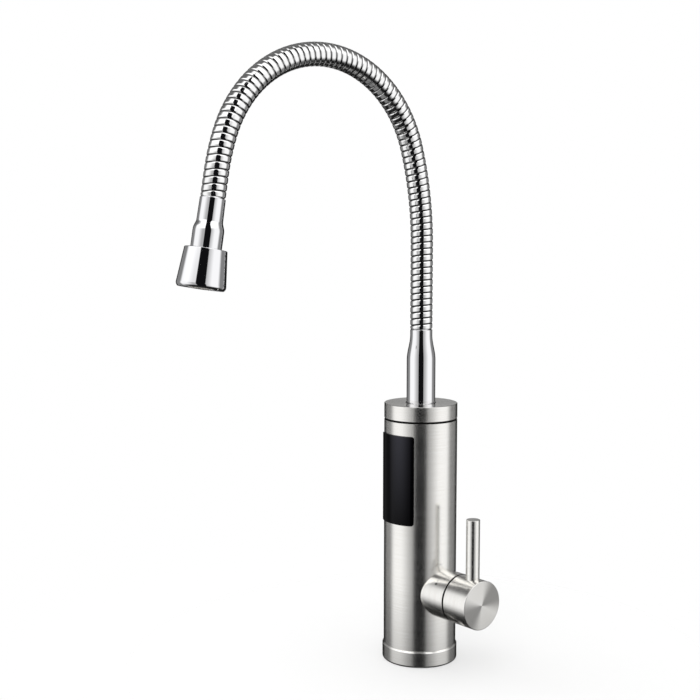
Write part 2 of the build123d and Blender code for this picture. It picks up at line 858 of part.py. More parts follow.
with BuildPart() as tank_seal:
    with BuildSketch(Plane.XY.offset(seal_groove_level + seat_fit)):
        with Locations(tank_centre):
            Circle(lid_spigot_radius)
            Circle(lid_spigot_radius - tank_seal_depth + seat_fit, mode=Mode.SUBTRACT)
    extrude(amount=tank_seal_height - 2 * seat_fit)
save(tank_seal, "tank_seal")

# Heating element: a sheathed hairpin that hangs from the lid into the tank
with BuildPart() as heating_element:
    with BuildLine():
        element_leg = Line((-element_x, element_y, stub_top), (-element_x, element_y, element_bend_level))
        ThreePointArc(
            (-element_x, element_y, element_bend_level),
            (0, element_y, element_bend_level - element_x),
            (element_x, element_y, element_bend_level),
        )
        Line((element_x, element_y, element_bend_level), (element_x, element_y, stub_top))
    with BuildSketch(Plane(origin=element_leg @ 0, z_dir=element_leg % 0)):
        Circle(element_radius)
    sweep()
save(heating_element, "heating_element")

# Element leads: two wires from the power board up the back of the column to the element's legs
lead_level = lid_top + lead_radius + lead_clearance
with BuildPart() as element_leads:
    for angle, leg_x in zip(lead_angles, (element_x, -element_x)):
        foot_x = lead_ring_radius * cos(radians(angle))
        foot_y = lead_ring_radius * sin(radians(angle))
        foot = Vector(foot_x, foot_y, board_top_level)
        leg = Vector(leg_x, element_y, board_top_level)
        inward = (leg - foot).normalized()
        reach = (leg - foot).length - element_radius - seat_fit
        bend_start = foot + Vector(0, 0, lead_level - lead_bend_radius - board_top_level)
        bend_end = bend_start + inward * lead_bend_radius + Vector(0, 0, lead_bend_radius)
        with BuildLine():
            riser = Line(foot, bend_start)
            TangentArc(bend_start, bend_end, tangent=riser % 1)
            Line(bend_end, bend_end + inward * (reach - lead_bend_radius))
        with BuildSketch(Plane(origin=foot, z_dir=(0, 0, 1))):
            Circle(lead_radius)
        sweep()
save(element_leads, "element_leads")

# Temperature probe and thermal cut-out
with BuildPart() as temperature_probe:
    with BuildSketch(Plane.XY.offset(tank_top - probe_depth)):
        with Locations((probe_x, probe_y)):
            Circle(probe_radius)
    extrude(amount=stub_top - tank_top + probe_depth)
save(temperature_probe, "temperature_probe")

cutout_plane = Plane(origin=(0, tank_y, cutout_level), x_dir=(0, 1, 0), z_dir=(-1, 0, 0))
with BuildPart() as thermal_cutout:
    with BuildSketch(cutout_plane):
        Circle(cutout_radius)
    extrude(amount=tank_radius + cutout_depth)
    with BuildSketch(Plane.XY.offset(tank_bottom)):
        with Locations(tank_centre):
            Circle(tank_radius + seat_fit)
    extrude(amount=tank_top - tank_bottom, mode=Mode.SUBTRACT)
save(thermal_cutout, "thermal_cutout")

# Control board, screwed to two ribs that bear on the tank
board_plane = Plane.XZ.offset(-board_back)
control_board_middle = (control_board_bottom + control_board_top) / 2
screw_levels = (control_board_bottom + carrier_height, control_board_top - carrier_height)
screw_places = [(side * board_screw_x, level) for side in (-1, 1) for level in screw_levels]
with BuildPart() as control_board:
    with BuildSketch(board_plane):
        with Locations((0, control_board_middle)):
            Rectangle(control_board_width, control_board_top - control_board_bottom)
        with Locations(*screw_places):
            Circle(board_screw_radius + seat_fit, mode=Mode.SUBTRACT)
    extrude(amount=board_thickness)
save(control_board, "control_board")

with BuildPart() as board_carrier:
    with BuildSketch(board_plane):
        for level in screw_levels:
            with Locations((0, level)):
                Rectangle(carrier_width, carrier_height)
        with Locations(*screw_places):
            Circle(board_screw_radius + seat_fit, mode=Mode.SUBTRACT)
    extrude(amount=board_back - tank_y)
    with BuildSketch(Plane.XY.offset(tank_bottom)):
        with Locations(tank_centre):
            Circle(tank_radius + seat_fit)
    extrude(amount=tank_top - tank_bottom, mode=Mode.SUBTRACT)
save(board_carrier, "board_carrier")

with BuildPart() as board_screws:
    with BuildSketch(Plane.XZ.offset(-control_board_y)):
        with Locations(*screw_places):
            Circle(board_screw_head_radius)
    extrude(amount=board_screw_head_height)
    with BuildSketch(Plane.XZ.offset(-control_board_y)):
        with Locations(*screw_places):
            Circle(board_screw_radius)
    extrude(amount=-board_screw_length)
save(board_screws, "board_screws")

# Display module behind the window of the column
panel_middle = (panel_bottom + panel_top) / 2
with BuildPart() as display_module:
    with BuildSketch(Plane.XZ.offset(-control_board_y)):
        with Locations((0, panel_middle)):
            Rectangle(display_width, display_height)
    extrude(amount=display_depth)
save(display_module, "display_module")

# Display panel: a curved black pane on the front of the column
panel_radius = body_radius + panel_proud
panel_chord = 2 * panel_radius * sin(radians(panel_half_angle))
with BuildPart() as display_panel:
    with BuildSketch(Plane.XY.offset(panel_bottom)):
        Circle(panel_radius)
        Circle(body_radius + seat_fit, mode=Mode.SUBTRACT)
    extrude(amount=panel_top - panel_bottom)
    with BuildSketch(Plane.XZ):
        with Locations((0, panel_middle)):
            RectangleRounded(panel_chord, panel_top - panel_bottom, panel_corner_radius)
    extrude(amount=panel_radius, mode=Mode.INTERSECT)
save(display_panel, "display_panel")

# Column shell, with the valve's hole and the display's window
with BuildPart() as body_shell:
    with BuildSketch(Plane.XY.offset(base_ring_floor)):
        Circle(body_radius)
        Circle(body_bore_radius, mode=Mode.SUBTRACT)
    extrude(amount=body_top_level - base_ring_floor)
    with BuildSketch(valve_plane):
        Circle(valve_body_radius + seat_fit)
    extrude(amount=body_radius + overrun, mode=Mode.SUBTRACT)
    with BuildSketch(Plane.XZ):
        with Locations((0, panel_middle)):
            Rectangle(window_width, window_height)
    extrude(amount=body_radius + overrun, mode=Mode.SUBTRACT)
save(body_shell, "body_shell")

# Seam seal: the black line between column and cap
with BuildPart() as seam_seal:
    with BuildSketch(Plane.XY.offset(body_top_level)):
        Circle(body_radius - seam_recess)
        Circle(liner_radius + seat_fit, mode=Mode.SUBTRACT)
    extrude(amount=seam_height)
save(seam_seal, "seam_seal")

# Top cap with a skirt into the column and a hole for the neck
cap_bore_radius = body_radius - cap_wall
with BuildPart() as top_cap:
    with BuildSketch(Plane.XY.offset(seam_top)):
        Circle(body_radius)
    extrude(amount=cap_top_level - seam_top)
    chamfer(top_cap.edges().group_by(Axis.Z)[-1], cap_edge)
    with BuildSketch(Plane.XY.offset(seam_top - cap_spigot_depth)):
        Circle(liner_radius)
    extrude(amount=cap_spigot_depth)
    with BuildSketch(Plane.XY.offset(seam_top - cap_spigot_depth)):
        Circle(cap_bore_radius)
    extrude(amount=cap_plate_level - seam_top + cap_spigot_depth, mode=Mode.SUBTRACT)
    with BuildSketch(Plane.XY.offset(cap_plate_level)):
        Circle(cap_hole_radius)
    extrude(amount=cap_plate, mode=Mode.SUBTRACT)
save(top_cap, "top_cap")

# Outlet manifold: takes the tank's outlet in its foot and the spout's tail above its floor
with BuildPart() as outlet_manifold:
    with BuildSketch(Plane.XY.offset(lid_top)):
        Circle(pipe_radius + seat_fit + manifold_foot_wall)
    extrude(amount=lid_outlet_height)
    with BuildSketch(Plane.XY.offset(lid_outlet_top - manifold_floor)):
        Circle(manifold_radius)
    extrude(amount=manifold_top - lid_outlet_top + manifold_floor)
    with BuildSketch(Plane.XY.offset(manifold_top - manifold_flange_thickness)):
        Circle(cap_bore_radius - free_gap)
        with Locations(*tie_rod_places()):
            Circle(tie_rod_radius + seat_fit, mode=Mode.SUBTRACT)
    extrude(amount=manifold_flange_thickness)
    with BuildSketch(Plane.XY.offset(lid_top)):
        Circle(pipe_radius + seat_fit)
    extrude(amount=lid_outlet_height, mode=Mode.SUBTRACT)
    with BuildSketch(Plane.XY.offset(lid_outlet_top)):
        Circle(tail_radius + running_fit)
    extrude(amount=manifold_top - lid_outlet_top, mode=Mode.SUBTRACT)
    with BuildSketch(Plane.XY.offset(manifold_top - clip_pocket_depth)):
        Circle(clip_pocket_radius)
    extrude(amount=clip_pocket_depth, mode=Mode.SUBTRACT)
save(outlet_manifold, "outlet_manifold")

# Swivel bearing: a black plastic washer with a step that centres in the cap's hole
with BuildPart() as spout_bearing:
    with BuildSketch(Plane.XY.offset(manifold_top)):
        Circle(bearing_flange_radius)
    extrude(amount=cap_plate_level - manifold_top)
    with BuildSketch(Plane.XY.offset(cap_plate_level)):
        Circle(cap_hole_radius - seat_fit)
    extrude(amount=bearing_step)
    with BuildSketch(Plane.XY.offset(manifold_top)):
        Circle(tail_radius + running_fit)
    extrude(amount=bearing_top - manifold_top, mode=Mode.SUBTRACT)
save(spout_bearing, "spout_bearing")

# Spout tail: the brass tube that turns in the manifold, grooved for two seals and a clip
with BuildPart() as spout_tail:
    with BuildSketch(Plane.XY.offset(tail_bottom)):
        Circle(tail_radius)
    extrude(amount=tail_top - tail_bottom)
    for drop in o_ring_drops:
        with BuildSketch(Plane.XY.offset(manifold_top - drop)):
            Circle(tail_radius)
            Circle(tail_radius - o_ring_depth, mode=Mode.SUBTRACT)
        extrude(amount=o_ring_height, mode=Mode.SUBTRACT)
    with BuildSketch(Plane.XY.offset(clip_level)):
        Circle(tail_radius)
        Circle(tail_radius - clip_depth, mode=Mode.SUBTRACT)
    extrude(amount=clip_thickness, mode=Mode.SUBTRACT)
    with BuildSketch(Plane.XY.offset(tail_bottom)):
        Circle(tail_bore_radius)
    extrude(amount=tail_top - tail_bottom, mode=Mode.SUBTRACT)
save(spout_tail, "spout_tail")

with BuildPart() as spout_o_rings:
    for drop in o_ring_drops:
        with BuildSketch(Plane.XY.offset(manifold_top - drop + seat_fit)):
            Circle(tail_radius)
            Circle(tail_radius - o_ring_depth + seat_fit, mode=Mode.SUBTRACT)
        extrude(amount=o_ring_height - 2 * seat_fit)
save(spout_o_rings, "spout_o_rings")

# Retaining clip: an open ring in the tail's groove, under the bearing
with BuildPart() as retaining_clip:
    with BuildSketch(Plane.XY.offset(clip_level + seat_fit)):
        Circle(clip_radius)
        Circle(tail_radius - clip_depth + seat_fit, mode=Mode.SUBTRACT)
        with Locations((0, clip_radius)):
            Rectangle(clip_radius / 2, clip_radius, mode=Mode.SUBTRACT)
    extrude(amount=clip_thickness - 2 * seat_fit)
save(retaining_clip, "retaining_clip")

# Neck base: a chrome bell that narrows in an S curve to the hose's width
with BuildPart() as neck_base:
    with BuildSketch(Plane.XZ):
        with BuildLine():
            Polyline(
                (hose_bore_radius, hose_start_level),
                (hose_bore_radius, tail_top),
                (tail_radius + seat_fit, tail_top),
                (tail_radius + seat_fit, neck_foot_level),
                (neck_base_radius - neck_base_edge, neck_foot_level),
                (neck_base_radius, neck_foot_level + neck_base_edge),
                (neck_base_radius, neck_base_shoulder),
            )
            Spline(
                (neck_base_radius, neck_base_shoulder),
                (hose_radius, neck_base_waist),
                tangents=((0, 1), (0, 1)),
            )
            Polyline(
                (hose_radius, neck_base_waist),
                (hose_radius, hose_start_level),
                (hose_bore_radius, hose_start_level),
            )
        make_face()
    revolve(axis=Axis.Z)
save(neck_base, "neck_base")


def rib_circles(first_rib, rib_total):
    """Distances and radii of the circles of one hose segment: four to a rib, root, crest, crest, root.

    The outermost circle at each end is a lip just under the crest, so that the end keeps a full wall.
    At the hose's own two ends it is a root circle, which meets the neck base and the outlet head.
    """
    circles = []
    for rib in range(first_rib, first_rib + rib_total):
        middle = (rib + 0.5) * rib_pitch
        crest_start = middle - crest_width / 2
        crest_end = middle + crest_width / 2
        root = hose_radius - groove_depth
        start = (crest_start - flank_width, root)
        end = (crest_end + flank_width, root)
        if rib == 0:
            start = (0, root)
        elif rib == first_rib:
            start = (crest_start - lip_length, hose_radius - lip_depth)
        if rib == sum(segment_ribs) - 1:
            end = (hose_length, root)
        elif rib == first_rib + rib_total - 1:
            end = (crest_end + lip_length, hose_radius - lip_depth)
        circles += [start, (crest_start, hose_radius), (crest_end, hose_radius), end]
    return circles


# Hose segments: ribbed steel lengths, each with a ball end that hides in the next one's skirt
first_rib = 0
for number, rib_total in enumerate(segment_ribs, 1):
    segment_start = first_rib * rib_pitch
    segment_end = (first_rib + rib_total) * rib_pitch
    has_socket = number > 1
    has_ball = number < len(segment_ribs)
    bore_end = segment_end + (ball_reach + overrun if has_ball else 0)
    with BuildPart() as hose_segment:
        for distance, radius in rib_circles(first_rib, rib_total):
            with BuildSketch(across_neck(distance)):
                Circle(radius)
        loft(ruled=True)
        if has_ball:
            with BuildSketch(along_neck(segment_end)):
                with BuildLine():
                    ball_root_radius = sqrt(ball_radius**2 - ball_root**2)
                    ball_end_radius = sqrt(ball_radius**2 - ball_reach**2)
                    Polyline(
                        (-ball_root, ball_root_radius),
                        (-ball_root, 0),
                        (ball_reach, 0),
                        (ball_reach, ball_end_radius),
                    )
                    ThreePointArc(
                        (ball_reach, ball_end_radius),
                        (0, ball_radius),
                        (-ball_root, ball_root_radius),
                    )
                make_face()
            revolve(axis=neck_axis(segment_end))
        for step in range(rib_total + 1):
            distance = segment_start + (bore_end - segment_start) * step / rib_total
            with BuildSketch(across_neck(distance)):
                Circle(hose_bore_radius)
        loft(ruled=True, mode=Mode.SUBTRACT)
        if has_socket:
            with BuildSketch(across_neck(segment_start)):
                Circle(ball_radius + free_gap)
            extrude(amount=socket_depth, mode=Mode.SUBTRACT)
    save(hose_segment, f"hose_segment_{number:02d}")
    first_rib += rib_total

# Inner tube: the water line through the neck, from the spout's tail to the outlet head
with BuildPart() as inner_tube:
    with BuildLine(neck_plane):
        tube_foot = tail_top - 2 * tail_radius
        riser = Line((0, tube_foot), (0, hose_start_level + riser_length))
        rise = JernArc(riser @ 1, riser % 1, rise_radius, -rise_turn)
        crook = JernArc(rise @ 1, rise % 1, crook_radius, -crook_turn)
        drop = JernArc(crook @ 1, crook % 1, drop_radius, -drop_turn)
        Line(drop @ 1, (drop @ 1) + (drop % 1) * (hose_diameter + sleeve_length))
    with BuildSketch(Plane.XY.offset(tube_foot)):
        Circle(inner_tube_radius)
        Circle(inner_tube_bore_radius, mode=Mode.SUBTRACT)
    sweep()
save(inner_tube, "inner_tube")

# Outlet head, turned about the axis of the hose's straight end
head_plane = along_neck(hose_length)
head_axis = neck_axis(hose_length)
sleeve_radius = sleeve_diameter / 2
connector_radius = connector_diameter / 2
flare_end = sleeve_length + flare_length
stop_start = bell_start + bell_wall + bell_travel + seat_fit
stop_end = stop_start + stop_flange_thickness
with BuildPart() as head_sleeve:
    with BuildSketch(head_plane):
        with BuildLine():
            Polyline(
                (0, hose_bore_radius),
                (0, sleeve_top_diameter / 2),
                (sleeve_length, sleeve_radius),
                (flare_end, connector_radius),
                (stop_start, connector_radius),
                (stop_start, stop_flange_radius),
                (stop_end, stop_flange_radius),
                (stop_end, connector_bore_radius),
                (flare_end, connector_bore_radius),
                (flare_end, hose_bore_radius),
                close=True,
            )
        make_face()
    revolve(axis=head_axis)
save(head_sleeve, "head_sleeve")

# Outlet bell: slides on the connector between jet and spray
bell_shoulder_radius = bell_shoulder_diameter / 2
bell_mouth_radius = bell_mouth_diameter / 2
bell_taper_share = (bell_mouth_radius - bell_shoulder_radius) / (bell_end - bell_start)
plate_start = bell_end - spray_plate_recess - spray_plate_thickness
plate_end = bell_end - spray_plate_recess
mouth_bore_radius = bell_mouth_radius - bell_wall
throat_radius = stop_flange_radius + free_gap
with BuildPart() as outlet_bell:
    with BuildSketch(head_plane):
        with BuildLine():
            Polyline(
                (bell_start, connector_radius + running_fit),
                (bell_start, bell_shoulder_radius - bell_edge),
                (bell_start + bell_edge, bell_shoulder_radius + bell_edge * bell_taper_share),
                (bell_end - bell_edge, bell_mouth_radius - bell_edge * bell_taper_share),
                (bell_end, bell_mouth_radius - bell_edge),
                (bell_end, mouth_bore_radius),
                (plate_start, mouth_bore_radius),
                (plate_start, throat_radius),
                (bell_start + bell_wall, throat_radius),
                (bell_start + bell_wall, connector_radius + running_fit),
                close=True,
            )
        make_face()
    revolve(axis=head_axis)
save(outlet_bell, "outlet_bell")

# Spray plate: the dark face of the outlet, with a ring of spray holes around the aerator
with BuildPart() as spray_plate:
    with BuildSketch(across_neck(hose_length + plate_start)):
        Circle(mouth_bore_radius - seat_fit)
        Circle(aerator_radius + seat_fit, mode=Mode.SUBTRACT)
        with PolarLocations(spray_ring_radius, spray_hole_count):
            Circle(spray_hole_radius, mode=Mode.SUBTRACT)
    extrude(amount=spray_plate_thickness)
save(spray_plate, "spray_plate")

# Aerator cartridge and its wire screen
aerator_start = plate_end - aerator_length
with BuildPart() as aerator_cartridge:
    with BuildSketch(across_neck(hose_length + aerator_start)):
        Circle(aerator_radius)
    extrude(amount=aerator_length)
    with BuildSketch(across_neck(hose_length + aerator_start + screen_thickness)):
        Circle(aerator_radius - aerator_wall)
    extrude(amount=aerator_length, mode=Mode.SUBTRACT)
    with BuildSketch(across_neck(hose_length + aerator_start)):
        with PolarLocations(aerator_radius / 2, spray_hole_count // 2):
            Circle(spray_hole_radius)
    extrude(amount=aerator_length, mode=Mode.SUBTRACT)
save(aerator_cartridge, "aerator_cartridge")

with BuildPart() as aerator_screen:
    with BuildSketch(across_neck(hose_length + plate_end - 2 * screen_thickness)):
        Circle(aerator_radius - aerator_wall - seat_fit)
    extrude(amount=screen_thickness)
save(aerator_screen, "aerator_screen")
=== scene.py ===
import json
from math import cos, pi, radians, sin, tan

import bmesh
import bpy
import numpy as np
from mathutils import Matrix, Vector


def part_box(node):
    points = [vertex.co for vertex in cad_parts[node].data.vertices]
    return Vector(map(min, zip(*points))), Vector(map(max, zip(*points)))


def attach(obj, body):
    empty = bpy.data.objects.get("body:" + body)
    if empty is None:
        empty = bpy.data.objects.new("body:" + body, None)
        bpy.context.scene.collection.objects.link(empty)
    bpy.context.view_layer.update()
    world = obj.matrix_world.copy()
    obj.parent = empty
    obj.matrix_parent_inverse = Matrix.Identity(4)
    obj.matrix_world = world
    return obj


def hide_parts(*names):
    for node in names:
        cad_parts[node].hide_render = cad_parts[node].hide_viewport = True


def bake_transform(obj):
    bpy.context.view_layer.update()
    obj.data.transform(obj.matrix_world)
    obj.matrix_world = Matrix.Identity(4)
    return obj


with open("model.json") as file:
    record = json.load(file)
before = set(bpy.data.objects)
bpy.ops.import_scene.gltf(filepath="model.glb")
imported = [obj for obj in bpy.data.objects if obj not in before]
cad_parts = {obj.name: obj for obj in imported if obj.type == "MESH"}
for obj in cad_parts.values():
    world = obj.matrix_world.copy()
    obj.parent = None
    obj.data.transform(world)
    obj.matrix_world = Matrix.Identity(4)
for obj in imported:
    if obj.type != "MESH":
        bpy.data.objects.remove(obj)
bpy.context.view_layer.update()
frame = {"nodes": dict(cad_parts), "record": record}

# Lengths are metres: a size is a number of millimetres times MM
MM = 0.001
X_AXIS = np.array([1.0, 0.0, 0.0])
Y_AXIS = np.array([0.0, 1.0, 0.0])
Z_AXIS = np.array([0.0, 0.0, 1.0])


def low(node):
    return np.array(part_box(node)[0])


def high(node):
    return np.array(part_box(node)[1])


# Column, read from the frame
column_radius = high("body_shell")[0]
column_foot = low("body_shell")[2]
column_top = high("body_shell")[2]
column_wall = 1.0 * MM
liner_radius = high("base_plate")[0]
ring_radius = high("base_ring")[0]
ring_top = high("base_ring")[2]
ring_bevel = 1.7 * MM
ring_foot_rounding = 2.0 * MM
ring_opening_radius = ring_radius - 7.0 * MM
seal_depth = high("base_seal")[2]
seal_outer_radius = high("base_seal")[0]
seal_inner_radius = seal_outer_radius - 2.0 * MM
seam_radius = high("seam_seal")[0]
seam_foot = column_top - 0.6 * MM
cap_foot = high("seam_seal")[2]
cap_top = high("top_cap")[2]
cap_plate = 3.0 * MM
cap_wall = 2.2 * MM
cap_edge = 0.5 * MM
cap_hole_radius = 12.5 * MM
bearing_foot = low("spout_bearing")[2]
bearing_top = high("spout_bearing")[2]
bearing_radius = high("spout_bearing")[0]
seat_fit = 0.05 * MM
soft_edge = 0.2 * MM
sharp_angle = radians(40)

# Display pane
pane_bottom = low("display_panel")[2]
pane_top = high("display_panel")[2]
pane_half_width = high("display_panel")[0]
pane_radius = -low("display_panel")[1]
pane_corner = 2.5 * MM
pane_bevel = 0.4 * MM
pane_crown = 0.6 * MM
crown_reach = 8.0 * MM
window_half_width = 10.0 * MM
window_half_height = 19.0 * MM
# angle round the column where the pane's painted reflection is brightest
painted_reflection_turn = radians(14)

# Side valve and handle, along +X at the handle's level
handle_level = (low("handle_knob")[2] + high("handle_knob")[2]) / 2
handle_centre = Z_AXIS * handle_level
housing_radius = high("valve_housing")[1]
housing_front = high("valve_housing")[0]
housing_edge = 0.5 * MM
housing_bore_radius = 17.2 * MM
gap_widening = 0.25 * MM
valve_front = high("valve_body")[0]
valve_radius = high("valve_body")[1]
knob_back = low("handle_knob")[0]
knob_front = high("handle_knob")[0]
knob_wall = 2.5 * MM
knob_face = 4.0 * MM
knob_boss_radius = 8.0 * MM
knob_boss_back = knob_back + 1.4 * MM
stem_radius = 4.0 * MM
stem_end = high("cartridge_stem")[0]
lever_low = low("lever")
lever_high = high("lever")
lever_x = (lever_low[0] + lever_high[0]) / 2
lever_radius = lever_high[1]
grub_x = (low("grub_screw")[0] + high("grub_screw")[0]) / 2
grub_access_radius = 2.9 * MM
disc_centre = handle_centre + X_AXIS * knob_front
index_dot_x = 36.2 * MM
index_dot_turn = radians(180 - 38.6)
index_side = np.array([0, cos(index_dot_turn), sin(index_dot_turn)])
index_dot = handle_centre + X_AXIS * index_dot_x + index_side * housing_radius
index_dot_radius = 1.05 * MM
index_line_x = 36.0 * MM
index_line_turn = radians(180 - 51.7)
index_line_share = 0.45
# angle round the handle's axis where the painted reflection's bright fans lie on the knob's face
bright_fan_turn = radians(118)

# Neck: base, ribbed hose and head
neck_foot = low("neck_base")[2]
neck_top = high("neck_base")[2]
neck_base_radius = high("neck_base")[0]
neck_shoulder = neck_top - 25.0 * MM
neck_waist = neck_top - 4.0 * MM
tail_radius = high("spout_tail")[0]
tail_top = high("spout_tail")[2]
hose_radius = high("hose_segment_01")[0]
hose_bore_radius = 5.6 * MM
tube_radius = high("inner_tube")[0]
tube_bore_radius = 3.0 * MM
tube_foot_drop = neck_top - low("inner_tube")[2]
groove_depth = 0.9 * MM
# share of the pitch, either side of a groove, over which the hose's painted shade fades out
groove_shade = 0.1
shoulder_drop = 0.42 * MM
straight_rise = 69.0 * MM
rise_radius, rise_turn = 260.0 * MM, radians(17.3)
crook_radius, crook_turn = 93.8 * MM, radians(141.8)
drop_radius, drop_turn = 162.0 * MM, radians(10.9)
neck_legs = (
    (straight_rise, 0.0),
    (rise_radius * rise_turn, rise_turn),
    (crook_radius * crook_turn, crook_turn),
    (drop_radius * drop_turn, drop_turn),
    (2 * hose_radius, 0.0),
)
hose_length = sum(length for length, turn in neck_legs)
end_ribs = 10
middle_ribs = 8
joint_count = 9
rib_count = 2 * end_ribs + (joint_count - 1) * middle_ribs
rib_pitch = hose_length / rib_count

# Outlet head, as distances from the end of the hose
sleeve_top_radius = 9.2 * MM
sleeve_radius = 9.5 * MM
sleeve_length = 18.0 * MM
flare_end = 20.6 * MM
flare_start = sleeve_length - 1.0 * MM
flare_finish = flare_end + 1.0 * MM
flare_start_rounding = 5.0 * MM
flare_finish_rounding = 11.0 * MM
connector_radius = 11.2 * MM
connector_bore_radius = 8.0 * MM
bell_start = 36.0 * MM
bell_end = 64.5 * MM
bell_shoulder_radius = 15.35 * MM
bell_mouth_radius = 18.0 * MM
bell_wall = 2.0 * MM
bell_edge = 0.6 * MM
bell_rim_height = 2.0 * MM
bell_rim_depth = 1.3 * MM
bell_rim_rounding = 3.0 * MM
bell_lip_rounding = 1.5 * MM
bell_travel = 4.0 * MM
stop_radius = 12.7 * MM
stop_thickness = 3.0 * MM
plate_recess = 1.5 * MM
plate_thickness = 4.0 * MM
running_fit = 0.06 * MM


# Colours and nodes


def colour(hex_code):
    """Linear colour of an sRGB hex code."""
    parts = [int(hex_code[i : i + 2], 16) / 255 for i in (1, 3, 5)]
    line = [c / 12.92 if c <= 0.04045 else ((c + 0.055) / 1.055) ** 2.4 for c in parts]
    return (*line, 1.0)


def feed(tree, node, inputs):
    """Gives each input of a node a value or another node's output."""
    for key, value in inputs.items():
        if isinstance(value, bpy.types.NodeSocket):
            tree.links.new(value, node.inputs[key])
        else:
            node.inputs[key].default_value = value


def add(tree, kind, inputs=None, **settings):
    """One node, with its settings as properties and its inputs as in feed."""
    node = tree.nodes.new(kind)
    for name, value in settings.items():
        setattr(node, name, value)
    feed(tree, node, inputs or {})
    return node


def maths(tree, operation, *values):
    """Output of a maths node on one to three values."""
    return add(tree, "ShaderNodeMath", dict(enumerate(values)), operation=operation).outputs[0]


def vector_maths(tree, operation, *values):
    """Output of a vector maths node: a number where the operation measures, or else a vector."""
    node = add(tree, "ShaderNodeVectorMath", dict(enumerate(values)), operation=operation)
    return node.outputs["Value" if operation in ("DISTANCE", "DOT_PRODUCT", "LENGTH") else "Vector"]


def apart(tree, value, middle):
    """How far a value lies from the middle one."""
    return maths(tree, "ABSOLUTE", maths(tree, "SUBTRACT", value, middle))


def mapped(tree, value, start, end, lowest=0.0, highest=1.0, soft=False):
    """Runs from lowest to highest while the value runs from start to end, evenly or with soft ends."""
    limits = {"Value": value, "From Min": start, "From Max": end, "To Min": lowest, "To Max": highest}
    kind = "SMOOTHSTEP" if soft else "LINEAR"
    return add(tree, "ShaderNodeMapRange", limits, interpolation_type=kind).outputs["Result"]


def mixed(tree, factor, first, second):
    """Colour that goes from the first to the second as the factor goes from 0 to 1."""
    node = add(tree, "ShaderNodeMix", {"Factor": factor, "A": first, "B": second}, data_type="RGBA")
    return node.outputs[2]


def ramp(tree, factor, stops):
    """Colour ramp with stops of (place, hex colour). Its places come first, because it sorts its stops by them."""
    node = add(tree, "ShaderNodeValToRGB", {"Fac": factor})
    band = node.color_ramp
    while len(band.elements) < len(stops):
        band.elements.new(0.5)
    for element, (place, hex_code) in zip(band.elements, stops):
        element.position = place
    for element, (place, hex_code) in zip(band.elements, stops):
        element.color = colour(hex_code)
    return node.outputs["Color"]


def object_place(tree):
    """Place on the piece in metres."""
    return add(tree, "ShaderNodeTexCoord").outputs["Object"]


def parts_of(tree, vector):
    """Outputs X, Y and Z of a vector."""
    return add(tree, "ShaderNodeSeparateXYZ", {"Vector": vector}).outputs


def new_material(name):
    """Material with a principled shader, and its node tree."""
    material = bpy.data.materials.new(name)
    material.use_nodes = True
    tree = material.node_tree
    return material, tree, tree.nodes["Principled BSDF"]


def grain(tree, stretch, size, detail=2.0):
    """Noise of a real grain size in metres, stretched along the object's axes by the given factors."""
    stretched = add(tree, "ShaderNodeMapping", {"Vector": object_place(tree), "Scale": stretch}).outputs["Vector"]
    inputs = {"Vector": stretched, "Scale": 1.0 / size, "Detail": detail, "Roughness": 0.6}
    return add(tree, "ShaderNodeTexNoise", inputs).outputs["Fac"]


def spread(tree, factor, lowest, highest):
    """A value that runs from lowest to highest with a factor from 0.3 to 0.7, where noise mostly lies."""
    return mapped(tree, factor, 0.3, 0.7, lowest, highest)


def bump(tree, height, distance, normal=None):
    """Normal of a relief, laid over another normal where one is given."""
    inputs = {"Height": height, "Distance": distance, "Strength": 1.0}
    if normal is not None:
        inputs["Normal"] = normal
    return add(tree, "ShaderNodeBump", inputs).outputs["Normal"]


def tinted(tree, factor, first, second):
    """Tone between two colours, by noise."""
    return ramp(tree, factor, ((0.35, first), (0.65, second)))


def turn_about_handle(tree, place):
    """Angle in radians about the handle's axis, 0 towards +Y and a quarter turn at the top."""
    local = parts_of(tree, vector_maths(tree, "SUBTRACT", place, handle_centre))
    return maths(tree, "ARCTAN2", local["Z"], local["Y"])


def painted_reflection_fans(tree, tone, place, on_face):
    """Painted reflection on a spun disc: two bright and two dim fans of light and shade painted into the tone, which
    follows the cosine of twice the angle round it.
    """
    twice = maths(tree, "MULTIPLY_ADD", turn_about_handle(tree, place), 2.0, -2 * bright_fan_turn)
    dim = mapped(tree, maths(tree, "COSINE", twice), 0.6, -0.9, 0.3, 0.9, soft=True)
    return mixed(tree, maths(tree, "MULTIPLY", dim, on_face), tone, colour("#7E7D7B"))


def shaded_gap(tree, tone, place):
    """The tone goes dark between the housing and the knob, where no light gets in."""
    away = apart(tree, parts_of(tree, place)["X"], (housing_front + knob_back) / 2)
    half = (knob_back - housing_front) / 2 + gap_widening
    return mixed(tree, mapped(tree, away, half + 0.2 * MM, half), tone, colour("#101010"))


def marked(tree, tone, place):
    """Index mark of the handle: a filled dot on the housing, and a fine line that runs up from it."""
    dot = mapped(tree, vector_maths(tree, "DISTANCE", place, index_dot), index_dot_radius, index_dot_radius - 0.2 * MM)
    across = apart(tree, parts_of(tree, place)["X"], index_line_x)
    narrow = mapped(tree, across, 0.45 * MM, 0.2 * MM)
    along = apart(tree, turn_about_handle(tree, place), index_line_turn)
    reach = mapped(tree, along, radians(7.5), radians(6.5))
    line = maths(tree, "MULTIPLY", narrow, reach)
    share = maths(tree, "MAXIMUM", dot, maths(tree, "MULTIPLY", line, index_line_share))
    return mixed(tree, share, tone, colour("#0C0C0E"))


